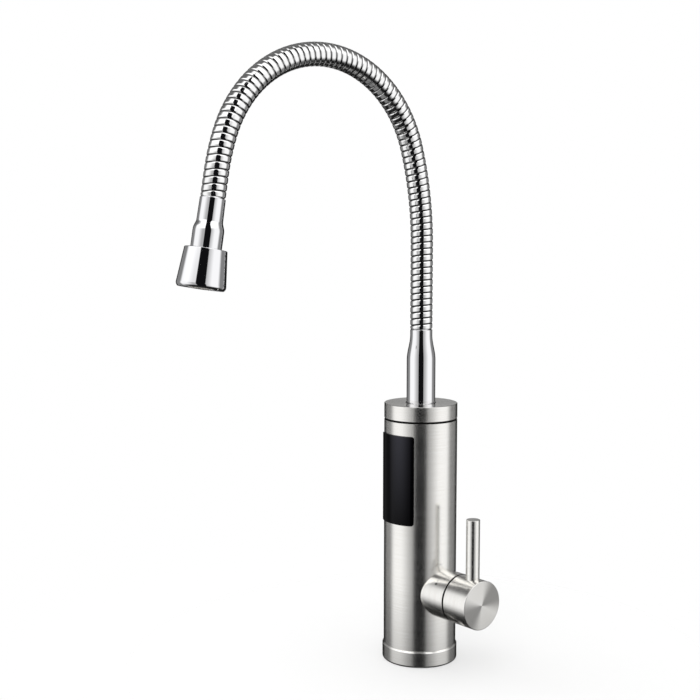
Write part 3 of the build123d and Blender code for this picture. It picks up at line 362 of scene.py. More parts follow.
def brushed_steel(name, axis, stretch, spun_face=None, mark=False):
    """Brushed stainless steel turned about an axis: its fine rings spread each highlight along that axis.

    The rings are drawn about 0.7 mm apart, coarser than real grit lines, so that they show. A spun face is
    (centre, radius, lean): it rises to its centre as a cone by that lean, and carries a painted reflection: fans of
    light and shade painted into its tone.
    """
    material, tree, shader = new_material(name)
    place = object_place(tree)
    lines = grain(tree, stretch, 0.7 * MM)
    haze = grain(tree, (1, 1, 1), 35 * MM)
    tangent = add(tree, "ShaderNodeTangent", direction_type="RADIAL", axis=axis).outputs["Tangent"]
    rough = mapped(tree, maths(tree, "ADD", lines, haze), 0.7, 1.3, 0.15, 0.185)
    tone = tinted(tree, lines, "#F4F2EE", "#FAF9F6")
    normal = bump(tree, lines, 0.0012 * MM)
    if mark:
        tone = marked(tree, tone, place)
    if spun_face:
        centre, radius, lean = spun_face
        on_face = maths(tree, "GREATER_THAN", parts_of(tree, place)["X"], centre[0] - 0.02 * MM)
        inside = maths(tree, "SUBTRACT", radius, vector_maths(tree, "DISTANCE", place, centre))
        height = maths(tree, "MULTIPLY", maths(tree, "MAXIMUM", inside, 0.0), on_face)
        normal = bump(tree, height, tan(lean), normal)
        # painted reflection: bright and dim fans painted into the spun face's tone
        tone = painted_reflection_fans(tree, tone, place, on_face)
    if axis == "X":
        tone = shaded_gap(tree, tone, place)
    feed(tree, shader, {"Metallic": 1.0, "Base Color": tone, "Roughness": rough, "Normal": normal})
    feed(tree, shader, {"Anisotropic": 0.9, "Anisotropic Rotation": 0.0, "Tangent": tangent})
    return material


def plated_steel(name, tone, rough_low, rough_high, blemish):
    """Polished plating: nearly a mirror, with faint wiping marks that break up the reflections."""
    material, tree, shader = new_material(name)
    rough = spread(tree, grain(tree, (1, 1, 0.3), blemish), rough_low, rough_high)
    feed(tree, shader, {"Metallic": 1.0, "Base Color": colour(tone), "Roughness": rough})
    return material


def ribbed_steel():
    """Bright rolled hose: polished ribs, with painted shade that darkens its grooves."""
    material = plated_steel("bright_rolled_stainless", "#F8F8F8", 0.06, 0.1, 6 * MM)
    tree = material.node_tree
    groove = add(tree, "ShaderNodeAttribute", attribute_name="shade").outputs["Fac"]
    # painted shade: the tone darkens towards the grooves
    tone = ramp(tree, groove, ((0.0, "#FAFAFA"), (0.35, "#D0D0D0"), (0.85, "#343434")))
    feed(tree, tree.nodes["Principled BSDF"], {"Base Color": tone})
    return material


def speckled(name, tones, rough, swing, size, relief, detail=2.0, **constants):
    """Material whose tone, gloss and relief vary with one noise: two tones, and a roughness give or take swing."""
    material, tree, shader = new_material(name)
    speck = grain(tree, (1, 1, 1), size, detail)
    inputs = {"Base Color": tinted(tree, speck, *tones), "Roughness": spread(tree, speck, rough - swing, rough + swing)}
    feed(tree, shader, inputs | {"Normal": bump(tree, speck, relief)} | constants)
    return material


def moulded(name, first, second, rough, size=1.2 * MM, relief=0.01 * MM, ior=1.5):
    """Moulded plastic or rubber: an even colour with a fine spark-eroded grain."""
    return speckled(name, (first, second), rough, 0.05, size, relief, IOR=ior)


def cast_metal(name, first, second, rough, size, relief):
    """Machined or cast metal: tone and gloss vary with the tool marks or the casting skin."""
    return speckled(name, (first, second), rough, 0.06, size, relief, detail=4.0, Metallic=1.0)


def black_pane():
    """Smoked acrylic pane: black and glossy, with a painted reflection: a soft upright band of lighter blue-grey in its
    tone that fades downwards.

    Its index of refraction is lower than real acrylic's, so that the bright cards don't turn it grey.
    """
    material, tree, shader = new_material("smoked_acrylic")
    haze = grain(tree, (1, 1, 1), 12 * MM)
    place = parts_of(tree, object_place(tree))
    angle = maths(tree, "ARCTAN2", place["X"], maths(tree, "MULTIPLY", place["Y"], -1.0))
    # painted reflection: a soft upright band of lighter tone, strongest at the pane's top
    window = mapped(tree, apart(tree, angle, painted_reflection_turn), radians(1), radians(24), 1.0, 0.0, soft=True)
    share = maths(tree, "MULTIPLY", window, mapped(tree, place["Z"], pane_bottom, pane_top))
    # the pane's black, and the blue-grey of its painted reflection
    tone = ramp(tree, share, ((0.0, "#010102"), (1.0, "#2E2E34")))
    feed(tree, shader, {"Base Color": tone, "Roughness": spread(tree, haze, 0.1, 0.15), "IOR": 1.17})
    return material


def circuit_laminate():
    """Solder-masked laminate: green with lighter copper tracks under the mask."""
    material, tree, shader = new_material("solder_masked_laminate")
    inputs = {"Vector": object_place(tree), "Scale": 1.0 / (2.6 * MM)}
    tracks = add(tree, "ShaderNodeTexVoronoi", inputs, distance="CHEBYCHEV", feature="F2").outputs["Distance"]
    tone = ramp(tree, tracks, ((0.45, "#0C3B22"), (0.5, "#1E6B3C"), (0.62, "#0F4529")))
    feed(tree, shader, {"Base Color": tone, "Roughness": spread(tree, tracks, 0.3, 0.42)})
    return material


# Surfaces


def mesh_piece(name, places, faces, solid=True, shade=None):
    """Object with one mesh: doubles merged, faces outwards, smooth but for its sharp edges. A solid is closed.

    Shade is a value of painted shade at each point, kept as the attribute of that name for the material.
    """
    mesh = bpy.data.meshes.new(name)
    mesh.from_pydata(places, [], faces)
    if shade is not None:
        mesh.attributes.new("shade", "FLOAT", "POINT").data.foreach_set("value", shade.ravel())
    shape = bmesh.new()
    shape.from_mesh(mesh)
    bmesh.ops.remove_doubles(shape, verts=shape.verts, dist=0.0005 * MM)
    bmesh.ops.dissolve_degenerate(shape, edges=shape.edges, dist=0.0002 * MM)
    open_edges = [edge for edge in shape.edges if edge.is_boundary]
    if solid and open_edges:
        bmesh.ops.holes_fill(shape, edges=open_edges, sides=0)
    bmesh.ops.recalc_face_normals(shape, faces=shape.faces)
    shape.to_mesh(mesh)
    shape.free()
    mesh.polygons.foreach_set("use_smooth", np.ones(len(mesh.polygons), bool))
    mesh.set_sharp_from_angle(angle=sharp_angle)
    piece = bpy.data.objects.new(name, mesh)
    bpy.context.scene.collection.objects.link(piece)
    return piece


def grid_faces(rows, columns, round_rows=False, round_columns=False):
    """Quads between the points of a grid, and between its last and first row or column where it is round."""
    number = np.arange(rows * columns).reshape(rows, columns)
    if round_columns:
        number = np.concatenate([number, number[:, :1]], axis=1)
    if round_rows:
        number = np.concatenate([number, number[:1]], axis=0)
    corners = [number[:-1, :-1], number[:-1, 1:], number[1:, 1:], number[1:, :-1]]
    return np.stack(corners, axis=-1).reshape(-1, 4)


def surface(name, points, round_rows=False, round_columns=False, solid=True, shade=None):
    """Piece made of one grid of points, rows by columns."""
    faces = grid_faces(*points.shape[:2], round_rows, round_columns)
    return mesh_piece(name, points.reshape(-1, 3), faces, solid, shade)


def outline(*corners, closed=True, steps=5):
    """Points of a profile. A corner is (across, along, rounding), and its arc touches both of its sides.

    A point close before and after each arc keeps the sides flat in the smooth shading.
    """
    points = []
    for number, (across, along, rounding) in enumerate(corners):
        here = np.array([across, along])
        at_end = not closed and number in (0, len(corners) - 1)
        if rounding == 0 or at_end:
            points.append(here[None])
            continue
        before = np.array(corners[number - 1][:2]) - here
        after = np.array(corners[(number + 1) % len(corners)][:2]) - here
        before_length, after_length = np.linalg.norm(before), np.linalg.norm(after)
        before, after = before / before_length, after / after_length
        half = np.arccos(np.clip(before @ after, -1, 1)) / 2
        touch = min(rounding / tan(half), 0.45 * before_length, 0.45 * after_length)
        radius = touch * tan(half)
        middle = (before + after) / np.linalg.norm(before + after)
        centre = here + middle * radius / sin(half)
        first, last = here + before * touch - centre, here + after * touch - centre
        share = np.linspace(0, 1, steps + 1)[:, None]
        sweep = pi - 2 * half
        arc = (np.sin((1 - share) * sweep) * first + np.sin(share * sweep) * last) / sin(sweep)
        hold = min(0.06 * MM, 0.04 * before_length, 0.04 * after_length)
        held = [(here + before * (touch + hold))[None], centre + arc, (here + after * (touch + hold))[None]]
        points.append(np.concatenate(held))
    return np.concatenate(points)


def turned(name, profile, origin, axis, side, around=144, closed=True):
    """Surface of revolution: a profile point (across, along) is carried round the axis through origin.

    At angle a it stands at origin + axis * along + (side * cos a + other * sin a) * across.
    """
    angles = 2 * pi * np.arange(around) / around
    other = np.cross(axis, side)
    ring = np.cos(angles)[:, None] * side + np.sin(angles)[:, None] * other
    across, along = profile[:, 0], profile[:, 1]
    points = origin + along[:, None, None] * axis + across[:, None, None] * ring[None]
    return surface(name, points, round_rows=closed, round_columns=True)


def upright(name, profile, around=144):
    """Surface of revolution about the column's axis, from a closed profile."""
    return turned(name, profile, 0 * Z_AXIS, Z_AXIS, X_AXIS, around)


def cut(piece, *tools):
    """Piece with the tools' shapes cut out of it for good."""
    for tool in tools:
        modifier = piece.modifiers.new("cut", "BOOLEAN")
        modifier.operation = "DIFFERENCE"
        modifier.solver = "EXACT"
        modifier.object = tool
        graph = bpy.context.evaluated_depsgraph_get()
        mesh = bpy.data.meshes.new_from_object(piece.evaluated_get(graph))
        piece.modifiers.clear()
        old = piece.data
        piece.data = mesh
        bpy.data.meshes.remove(old)
        bpy.data.objects.remove(tool)
        mesh.set_sharp_from_angle(angle=sharp_angle)
    mesh.name = piece.name
    return piece


def rod(name, radius, start, end, side, around=64):
    """Plain closed bar from start to end, used as a cutting tool."""
    length = np.linalg.norm(end - start)
    profile = np.array([(0, 0), (radius, 0), (radius, length), (0, length)])
    return turned(name, profile, start, (end - start) / length, side, around, closed=False)


def dress(piece, body, material, slot, *nodes):
    """Gives a piece its material and its body, and hides the CAD nodes that it stands for. The slot is not used."""
    piece.data.materials.clear()
    piece.data.materials.append(material)
    if body:
        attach(piece, body)
    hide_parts(*nodes)
    return piece


# Materials

column_steel = brushed_steel("brushed_stainless_column", "Z", (0.02, 0.02, 1))
handle_steel = brushed_steel("brushed_stainless_handle", "X", (1, 0.02, 0.02), mark=True)
knob_steel = brushed_steel("spun_stainless_knob", "X", (1, 0.02, 0.02), (disc_centre, housing_radius, radians(1.5)))
chrome = plated_steel("polished_chrome_plating", "#F8F8FA", 0.03, 0.06, 9 * MM)
hose_steel = ribbed_steel()
pane_acrylic = black_pane()
black_plastic = moulded("black_acetal", "#0E0E0F", "#161618", 0.42)
white_plastic = moulded("natural_polysulfone", "#D8D4C8", "#E2DFD6", 0.4)
seal_rubber = moulded("nitrile_rubber", "#050505", "#0A0A0A", 0.6, 0.8 * MM, 0.01 * MM, 1.2)
hose_rubber = moulded("silicone_hose", "#B9B7B0", "#C6C4BE", 0.5)
wire_skin = moulded("silicone_wire_sheath", "#7A1712", "#8A1D17", 0.5)
ceramic = moulded("ground_alumina", "#ECE9E1", "#F3F1EA", 0.25, 0.5 * MM, 0.003 * MM, 1.76)
display_glass = moulded("display_glass_and_frame", "#0A0C10", "#11141A", 0.12, 3 * MM, 0.001 * MM, 1.52)
brass = cast_metal("machined_brass", "#B58A45", "#C79A52", 0.32, 0.8 * MM, 0.006 * MM)
zinc = cast_metal("zinc_casting", "#8D9093", "#A0A3A6", 0.48, 1.6 * MM, 0.03 * MM)
bolt_steel = cast_metal("zinc_plated_steel", "#A9ABAD", "#BDBFC2", 0.3, 1.0 * MM, 0.004 * MM)
sheath_steel = cast_metal("annealed_element_sheath", "#6C665F", "#857D73", 0.42, 2.5 * MM, 0.01 * MM)
laminate = circuit_laminate()

slot_materials = {
    "brushed_stainless": column_steel,
    "hose_steel": hose_steel,
    "polished_chrome": chrome,
    "gloss_black_pane": pane_acrylic,
    "display_glass": display_glass,
    "black_polymer": black_plastic,
    "white_polymer": white_plastic,
    "water_hose": hose_rubber,
    "zinc_casting": zinc,
    "brass": brass,
    "rubber_seal": seal_rubber,
    "alumina_ceramic": ceramic,
    "circuit_board": laminate,
    "fastener_steel": bolt_steel,
    "element_sheath": sheath_steel,
    "wire_insulation": wire_skin,
}


# Column pieces


def make_base_ring():
    """Turned skirt: rounded foot, bevelled top edge and a groove for the seal underneath."""
    profile = outline(
        (ring_opening_radius, 0, soft_edge),
        (seal_inner_radius - seat_fit, 0, soft_edge),
        (seal_inner_radius - seat_fit, seal_depth, 0),
        (seal_outer_radius + seat_fit, seal_depth, 0),
        (seal_outer_radius + seat_fit, 0, soft_edge),
        (ring_radius, 0, ring_foot_rounding),
        (ring_radius, ring_top - ring_bevel, soft_edge),
        (column_radius + seat_fit, ring_top, 0.1 * MM),
        (column_radius + seat_fit, column_foot, 0),
        (ring_opening_radius, column_foot, soft_edge),
    )
    piece = upright("base_ring_turned", profile)
    return dress(piece, "column", column_steel, "brushed_stainless", "base_ring")


def make_column_shell():
    """Thin tube with the valve's round hole on its right and the display's window in front."""
    bore = column_radius - column_wall
    profile = outline(
        (column_radius, column_foot, soft_edge),
        (column_radius, seam_foot, 0.1 * MM),
        (bore, seam_foot, soft_edge),
        (bore, column_foot, soft_edge),
    )
    piece = upright("column_shell", profile, around=192)
    reach = 2 * column_radius
    valve_tool = rod("tool", valve_radius + seat_fit, handle_centre, handle_centre + X_AXIS * reach, Y_AXIS)
    middle = (pane_bottom + pane_top) / 2
    corners = [(-1, -1), (1, -1), (1, 1), (-1, 1)]
    window = [
        [(x * window_half_width, y, middle + z * window_half_height) for x, z in corners]
        for y in (0, -reach)
    ]
    window_tool = surface("tool", np.array(window), round_columns=True)
    cut(piece, valve_tool, window_tool)
    return dress(piece, "column", column_steel, "brushed_stainless", "body_shell")


def make_seam_seal():
    """Flat black ring that shows as the dark line under the cap."""
    profile = outline(
        (liner_radius + seat_fit, seam_foot, 0),
        (seam_radius, seam_foot, 0),
        (seam_radius, cap_foot, 0),
        (liner_radius + seat_fit, cap_foot, 0),
    )
    piece = upright("seam_line", profile)
    return dress(piece, "column", seal_rubber, "rubber_seal", "seam_seal")


def make_cap():
    """Turned cap: a plate with the neck's hole, a rim and a spigot that drops into the column."""
    spigot_foot = low("top_cap")[2]
    inner = column_radius - cap_wall
    profile = outline(
        (cap_hole_radius, cap_top - cap_plate, soft_edge),
        (cap_hole_radius, cap_top, soft_edge),
        (column_radius, cap_top, cap_edge),
        (column_radius, cap_foot, soft_edge),
        (liner_radius, cap_foot, 0),
        (liner_radius, spigot_foot, soft_edge),
        (inner, spigot_foot, soft_edge),
        (inner, cap_top - cap_plate, 0),
    )
    piece = upright("cap_turned", profile, around=192)
    return dress(piece, "column", column_steel, "brushed_stainless", "top_cap")


def make_bearing():
    """Stepped washer that shows as the dark ring around the neck's foot."""
    step_level = bearing_top - 1.5 * MM
    profile = outline(
        (tail_radius + running_fit, bearing_foot, 0),
        (bearing_radius, bearing_foot, 0),
        (bearing_radius, step_level, 0),
        (cap_hole_radius - seat_fit, step_level, 0),
        (cap_hole_radius - seat_fit, bearing_top, soft_edge),
        (tail_radius + running_fit, bearing_top, 0),
    )
    piece = upright("bearing_washer", profile)
    return dress(piece, "column", black_plastic, "black_polymer", "spout_bearing")


def make_pane():
    """Curved pane: a grid of upright columns on a cylinder, its height drawn in along the corner arcs.

    Towards its sides it falls away as the square of the distance, and loops around its rim carry a rounded bevel
    down to the column's wall.
    """
    widest = np.arcsin(pane_half_width / pane_radius)
    half_width = widest * pane_radius
    half_height = (pane_top - pane_bottom) / 2
    middle = (pane_top + pane_bottom) / 2
    wall_radius = column_radius + seat_fit
    rows = 25

    def front(inset, radius):
        """Grid of the pane's front, drawn in by inset, on a cylinder of the given radius."""
        corner = pane_corner - inset
        flat = half_width - pane_corner
        turn = np.linspace(0, pi / 2, 9)
        right = flat + corner * np.sin(turn)
        wide = np.concatenate([-right[::-1], np.linspace(-flat, flat, 33)[1:-1], right])
        past = np.clip(np.abs(wide) - flat, 0, corner)
        height = half_height - pane_corner + np.sqrt(np.clip(corner**2 - past**2, 0, None))
        share = np.linspace(-1, 1, rows)
        angle = wide / pane_radius
        side = np.clip((np.abs(wide) - half_width + crown_reach) / crown_reach, 0, 1)
        level = radius - pane_crown * side**2 * (radius - wall_radius) / (pane_radius - wall_radius)
        x = np.broadcast_to(level * np.sin(angle), (rows, len(wide)))
        y = np.broadcast_to(-level * np.cos(angle), (rows, len(wide)))
        z = middle + share[:, None] * height[None]
        return np.stack([x, y, z], axis=-1)

    def rim(grid):
        """The grid's outermost points, once around."""
        return np.concatenate([grid[0, :-1], grid[:-1, -1], grid[-1, :0:-1], grid[:0:-1, 0]])

    face = front(pane_bevel, pane_radius)
    turn = np.linspace(0, pi / 2, 6)
    insets = pane_bevel * (1 - np.sin(turn))
    drops = pane_bevel * (1 - np.cos(turn))
    loops = [rim(front(inset, pane_radius - drop)) for inset, drop in zip(insets, drops)]
    loops.append(rim(front(0, wall_radius)))
    back = front(pane_bevel, wall_radius)
    loops.append(rim(back))
    band = np.stack(loops)
    count = face.shape[0] * face.shape[1]
    places = np.concatenate([face.reshape(-1, 3), back.reshape(-1, 3), band.reshape(-1, 3)])
    face_grid = grid_faces(*face.shape[:2])
    back_grid = grid_faces(*back.shape[:2])[:, ::-1] + count
    band_grid = grid_faces(*band.shape[:2], round_columns=True) + 2 * count
    faces = np.concatenate([face_grid, back_grid, band_grid])
    piece = mesh_piece("display_pane", places, faces)
    return dress(piece, "column", pane_acrylic, "gloss_black_pane", "display_panel")


# Side valve and handle


def make_housing():
    """Sleeve along +X: its back edge follows the column's wall, x = sqrt(wall^2 - y^2), and its front is flat."""
    wall = column_radius + seat_fit
    bore = valve_radius + seat_fit
    front = housing_front - gap_widening
    profile = outline(
        (housing_radius, column_radius, 0),
        (housing_radius, front, 0.3 * MM),
        (housing_bore_radius, front, soft_edge),
        (housing_bore_radius, valve_front, 0),
        (bore, valve_front, 0),
        (bore, column_radius, 0),
    )
    around = 144
    angles = 2 * pi * np.arange(around) / around
    across = profile[:, 0][:, None]
    y = across * np.cos(angles)[None]
    z = across * np.sin(angles)[None]
    saddle = np.sqrt(wall**2 - y**2)
    x = np.broadcast_to(profile[:, 1][:, None], y.shape).copy()
    x[0], x[-1] = saddle[0], saddle[-1]
    points = np.stack([x, y, z + handle_level], axis=-1)
    piece = surface("valve_sleeve", points, round_rows=True, round_columns=True)
    return dress(piece, "column", handle_steel, "brushed_stainless", "valve_housing")


def make_knob():
    """Drum about +X with a spun end face, a boss for the stem, a lever hole and a grub screw hole."""
    inner = housing_radius - knob_wall
    back = knob_back + gap_widening
    profile = outline(
        (0, knob_front, 0),
        (housing_radius, knob_front, housing_edge),
        (housing_radius, back, 0.3 * MM),
        (inner, back, soft_edge),
        (inner, knob_front - knob_face, soft_edge),
        (knob_boss_radius, knob_front - knob_face, soft_edge),
        (knob_boss_radius, knob_boss_back, soft_edge),
        (stem_radius + seat_fit, knob_boss_back, soft_edge),
        (stem_radius + seat_fit, stem_end + seat_fit, 0),
        (0, stem_end + seat_fit, 0),
        closed=False,
    )
    piece = turned("knob_drum", profile, handle_centre, X_AXIS, Y_AXIS, closed=False)
    lever_foot = handle_centre + X_AXIS * lever_x + Z_AXIS * knob_boss_radius
    lever_tool = rod("tool", lever_radius + seat_fit, lever_foot, lever_foot + Z_AXIS * housing_radius, X_AXIS)
    grub_foot = handle_centre + X_AXIS * grub_x - Z_AXIS * knob_boss_radius
    grub_tool = rod("tool", grub_access_radius, grub_foot, grub_foot - Z_AXIS * housing_radius, X_AXIS)
    cut(piece, lever_tool, grub_tool)
    return dress(piece, "handle", knob_steel, "brushed_stainless", "handle_knob")


def make_lever():
    """Straight round bar with a flat top and a fine edge."""
    edge = 0.5 * MM
    profile = outline(
        (0, lever_low[2], 0),
        (lever_radius, lever_low[2], soft_edge),
        (lever_radius, lever_high[2], edge),
        (0, lever_high[2], 0),
        closed=False,
    )
    piece = turned("lever_bar", profile, X_AXIS * lever_x, Z_AXIS, X_AXIS, 72, closed=False)
    return dress(piece, "handle", column_steel, "brushed_stainless", "lever")


# Neck


def neck_line(distances):
    """Centres, directions and outward sides of the neck at distances from the hose's foot.

    Each leg adds a straight run, or an arc of radius length / turn in the plane x = 0, which bends towards -Y.
    """
    heading = np.full(distances.shape, pi / 2)
    forward = np.zeros(distances.shape)
    height = np.full(distances.shape, neck_top)
    start, before = 0.0, pi / 2
    for number, (length, turn) in enumerate(neck_legs):
        lowest = -np.inf if number == 0 else 0
        longest = np.inf if number == len(neck_legs) - 1 else length
        run = np.clip(distances - start, lowest, longest)
        if turn:
            radius = length / turn
            after = before - run / radius
            forward += radius * (sin(before) - np.sin(after))
            height += radius * (np.cos(after) - cos(before))
            heading -= run / radius
        else:
            forward += run * cos(before)
            height += run * sin(before)
        start += length
        before -= turn
    zero = np.zeros(distances.shape)
    centres = np.stack([zero, -forward, height], axis=-1)
    directions = np.stack([zero, -np.cos(heading), np.sin(heading)], axis=-1)
    sides = np.stack([zero, np.sin(heading), np.cos(heading)], axis=-1)
    return centres, directions, sides


def carried(distances, radii, angles):
    """Points at radii and angles about the neck's centre line: centre + (X cos a + side sin a) * radius."""
    centres, directions, sides = neck_line(distances)
    ring = np.cos(angles)[..., None] * X_AXIS + np.sin(angles)[..., None] * sides
    return centres + radii[..., None] * ring


def rib_radius(phase):
    """Hose radius at a phase of 0 to 1 along one turn: a flat crest, sloped shoulders and a narrow groove.

    The distance to the nearest groove, as a share of the pitch, is |phase - round(phase)|.
    """
    away = np.abs(phase - np.round(phase))
    crest_from, groove_to = 0.23, 0.045
    slope = np.clip((crest_from - away) / (crest_from - groove_to), 0, 1)
    dip = np.clip(1 - away / groove_to, 0, 1)
    return hose_radius - shoulder_drop * slope**1.3 - (groove_depth - shoulder_drop) * np.sqrt(dip)


# Phases within one turn where the hose's surface has points: close together at the groove and the creases
half_turn = (0.0, 0.015, 0.03, 0.041, 0.05, 0.08, 0.12, 0.16, 0.195, 0.22, 0.235, 0.3, 0.4)
turn_phases = np.array(sorted({-p for p in half_turn} | set(half_turn) | {0.5}))
joint_ribs = [end_ribs + middle_ribs * number for number in range(joint_count)]
piece_ends = [0.0] + [rib + middle_ribs / 2 + 0.5 for rib in joint_ribs[:-1]] + [rib_count + 0.0]


def bend_at_joint(piece, number):
    """Bakes a piece's placement into its mesh. The neck's centres either side of the joint are worked out, and not
    used.
    """
    reach = 11.0 * MM
    middle = joint_ribs[number] * rib_pitch
    ends = neck_line(np.array([middle - reach, middle + reach]))[0]
    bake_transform(piece)


def make_hose_piece(number):
    """One length of the hose: a right-handed helix, so that at angle a the ribs are a / 2 pi of a turn further on.

    Its wall has the ribs outside and a plain bore inside. It ends along a rib's crest, or flat at the hose's ends.
    """
    first, last = piece_ends[number], piece_ends[number + 1]
    around = 72
    angles = np.linspace(0, 2 * pi, around + 1)
    starts_flat = number == 0
    ends_flat = number == joint_count - 1
    low_phase = first - 1 if starts_flat else first
    turns = np.arange(np.floor(low_phase) - 1, last + 2)
    phases = np.unique(np.round((turns[:, None] + turn_phases[None]).ravel(), 6))
    phases = phases[(phases >= low_phase) & (phases <= last)]
    inner_phases = np.arange(low_phase, last + 0.01, 0.25)[::-1]
    rows, shades = [], []
    for row_phases, is_bore in ((phases, False), (inner_phases, True)):
        grid_phase, grid_angle = np.meshgrid(row_phases, angles, indexing="ij")
        distance = (grid_phase + grid_angle / (2 * pi)) * rib_pitch
        distance = np.clip(distance, 0, hose_length)
        if is_bore:
            radius = np.full(distance.shape, hose_bore_radius)
        else:
            to_end = np.minimum(distance, hose_length - distance) / (0.35 * rib_pitch)
            blend = np.clip(to_end, 0, 1)
            root = hose_radius - groove_depth
            radius = root + (rib_radius(grid_phase) - root) * np.sqrt(blend)
        rows.append(carried(distance, radius, grid_angle))
        # painted shade: 1 at a groove, falling to 0 at groove_shade of the pitch from it
        from_groove = np.abs(grid_phase - np.round(grid_phase))
        shades.append(np.clip(1 - from_groove / groove_shade, 0, 1))
    points = np.concatenate(rows)
    shade = np.concatenate(shades)
    piece = surface(f"hose_length_{number + 1:02d}", points, round_rows=True, shade=shade)
    nodes = [f"hose_segment_{number + 1:02d}"]
    if ends_flat:
        nodes.append(f"hose_segment_{number + 2:02d}")
    dress(piece, None, hose_steel, "hose_steel", *nodes)
    bend_at_joint(piece, number)
    return piece


def make_liner_piece(number):
    """One length of the water tube inside the hose."""
    around = rows = 24
    first = piece_ends[number] * rib_pitch if number else -tube_foot_drop
    last = piece_ends[number + 1] * rib_pitch
    if number == joint_count - 1:
        last = hose_length + sleeve_length
    distances = np.linspace(first, last, rows)
    distances = np.concatenate([distances, distances[::-1]])
    radii = np.repeat([tube_radius, tube_bore_radius], rows)
    angles = 2 * pi * np.arange(around) / around
    grid_distance, grid_angle = np.meshgrid(distances, angles, indexing="ij")
    points = carried(grid_distance, np.broadcast_to(radii[:, None], grid_angle.shape), grid_angle)
    piece = surface(f"tube_length_{number + 1:02d}", points, round_rows=True, round_columns=True)
    dress(piece, None, hose_rubber, "water_hose", "inner_tube")
    bend_at_joint(piece, number)
    return piece


def make_neck_base():
    """Chrome foot of the neck: a barrel that narrows to the hose in an S curve, radius by a cosine step.

    A fine groove near its foot is the line where the turning part meets its collar.
    """
    parting = neck_foot + 1.7 * MM
    parting_radius = neck_base_radius - 0.6 * MM
    parting_edge = 0.3 * MM
    parting_floor = 0.25 * MM
    share = np.linspace(0, 1, 25)
    narrow = neck_base_radius + (hose_radius - neck_base_radius) * (1 - np.cos(pi * share)) / 2
    rise = neck_shoulder + (neck_waist - neck_shoulder) * share
    foot = outline(
        (hose_bore_radius, tail_top, 0),
        (tail_radius + seat_fit, tail_top, 0),
        (tail_radius + seat_fit, neck_foot, 0),
        (neck_base_radius, neck_foot, 0.15 * MM),
        (neck_base_radius, parting - parting_edge, 0.1 * MM),
        (parting_radius, parting - parting_floor, 0),
        (parting_radius, parting + parting_floor, 0),
        (neck_base_radius, parting + parting_edge, 0.1 * MM),
        (neck_base_radius, neck_shoulder, 0),
        (neck_base_radius, neck_top, 0),
        closed=False,
    )[:-1]
    top = outline(
        (hose_radius, neck_waist, 0),
        (hose_radius, neck_top, 0.3 * MM),
        (hose_bore_radius, neck_top, 0),
        closed=False,
    )[1:]
    profile = np.concatenate([foot, np.stack([narrow, rise], axis=-1)[1:], top])
    piece = upright("neck_foot", profile)
    return dress(piece, "spout", chrome, "polished_chrome", "neck_base")


# Outlet head, about the axis of the hose's straight end
head_origin, head_axis = (part[0] for part in neck_line(np.array([hose_length]))[:2])


def make_sleeve():
    """Chrome sleeve that flares to the connector, with the stop flange inside the bell."""
    stop_start = bell_start + bell_wall + bell_travel + seat_fit
    stop_end = stop_start + stop_thickness
    profile = outline(
        (hose_bore_radius, 0, 0),
        (sleeve_top_radius, 0, 0.35 * MM),
        (sleeve_radius, flare_start, flare_start_rounding),
        (connector_radius, flare_finish, flare_finish_rounding),
        (connector_radius, stop_start, 0),
        (stop_radius, stop_start, 0),
        (stop_radius, stop_end, soft_edge),
        (connector_bore_radius, stop_end, soft_edge),
        (connector_bore_radius, flare_end, 0),
        (hose_bore_radius, flare_end, 0),
    )
    piece = turned("head_tube", profile, head_origin, head_axis, X_AXIS)
    return dress(piece, "head", chrome, "polished_chrome", "head_sleeve")


def make_bell():
    """Chrome bell, widening to its mouth, with a rolled rim around the spray plate."""
    plate_start = bell_end - plate_recess - plate_thickness
    mouth_bore = bell_mouth_radius - bell_wall
    throat = stop_radius + 0.3 * MM
    profile = outline(
        (connector_radius + running_fit, bell_start, soft_edge),
        (bell_shoulder_radius, bell_start, bell_edge),
        (bell_mouth_radius, bell_end - bell_rim_height, bell_rim_rounding),
        (bell_mouth_radius - bell_rim_depth, bell_end, bell_lip_rounding),
        (mouth_bore, bell_end, soft_edge),
        (mouth_bore, plate_start, 0),
        (throat, plate_start, 0),
        (throat, bell_start + bell_wall, 0),
        (connector_radius + running_fit, bell_start + bell_wall, 0),
    )
    piece = turned("outlet_cup", profile, head_origin, head_axis, X_AXIS)
    return dress(piece, "outlet", chrome, "polished_chrome", "outlet_bell")


# Camera at the photograph's viewpoint: viewpoint_side points to it from the tap, and sideways to its right

camera_distance = 1015.8 * MM
camera_azimuth = radians(47.5)
camera_level = 366.4 * MM
camera_pitch = radians(6.094)
camera_heading = camera_azimuth + radians(3.286)
viewpoint_side = np.array([sin(camera_azimuth), -cos(camera_azimuth), 0.0])
sideways = np.array([cos(camera_azimuth), sin(camera_azimuth), 0.0])


def make_camera():
    camera = bpy.data.objects.new("camera", bpy.data.cameras.new("camera"))
    camera.data.sensor_width = 36
    camera.data.lens = 64.1
    camera.data.clip_start = 0.01
    camera.location = camera_distance * viewpoint_side + camera_level * Z_AXIS
    camera.rotation_euler = (pi / 2 - camera_pitch, 0, camera_heading)
    bpy.context.scene.collection.objects.link(camera)
    bpy.context.scene.camera = camera


# The studio stands still in the world. Cards stand round the tap, as degrees to either side of the viewpoint and
# grey level: a grey front wall, a soft box, a grey screen and a black flag follow one another on each side, and a
# grey backdrop stands behind. The high cards lean over them, and the canopy is where the one gives way to the other.
level_cards = (
    (30, "#B4B4B4"),
    (60, "#FFFFFF"),
    (92, "#FFFFFF"),
    (106, "#848484"),
    (134, "#848484"),
    (144, "#1C1C1C"),
    (172, "#1C1C1C"),
    (178, "#A0A0A0"),
)
high_cards = ((92, "#FFFFFF"), (115, "#707070"), (150, "#505050"))
canopy_foot, canopy_top = 0.26, 0.52
canopy_boost = 0.3

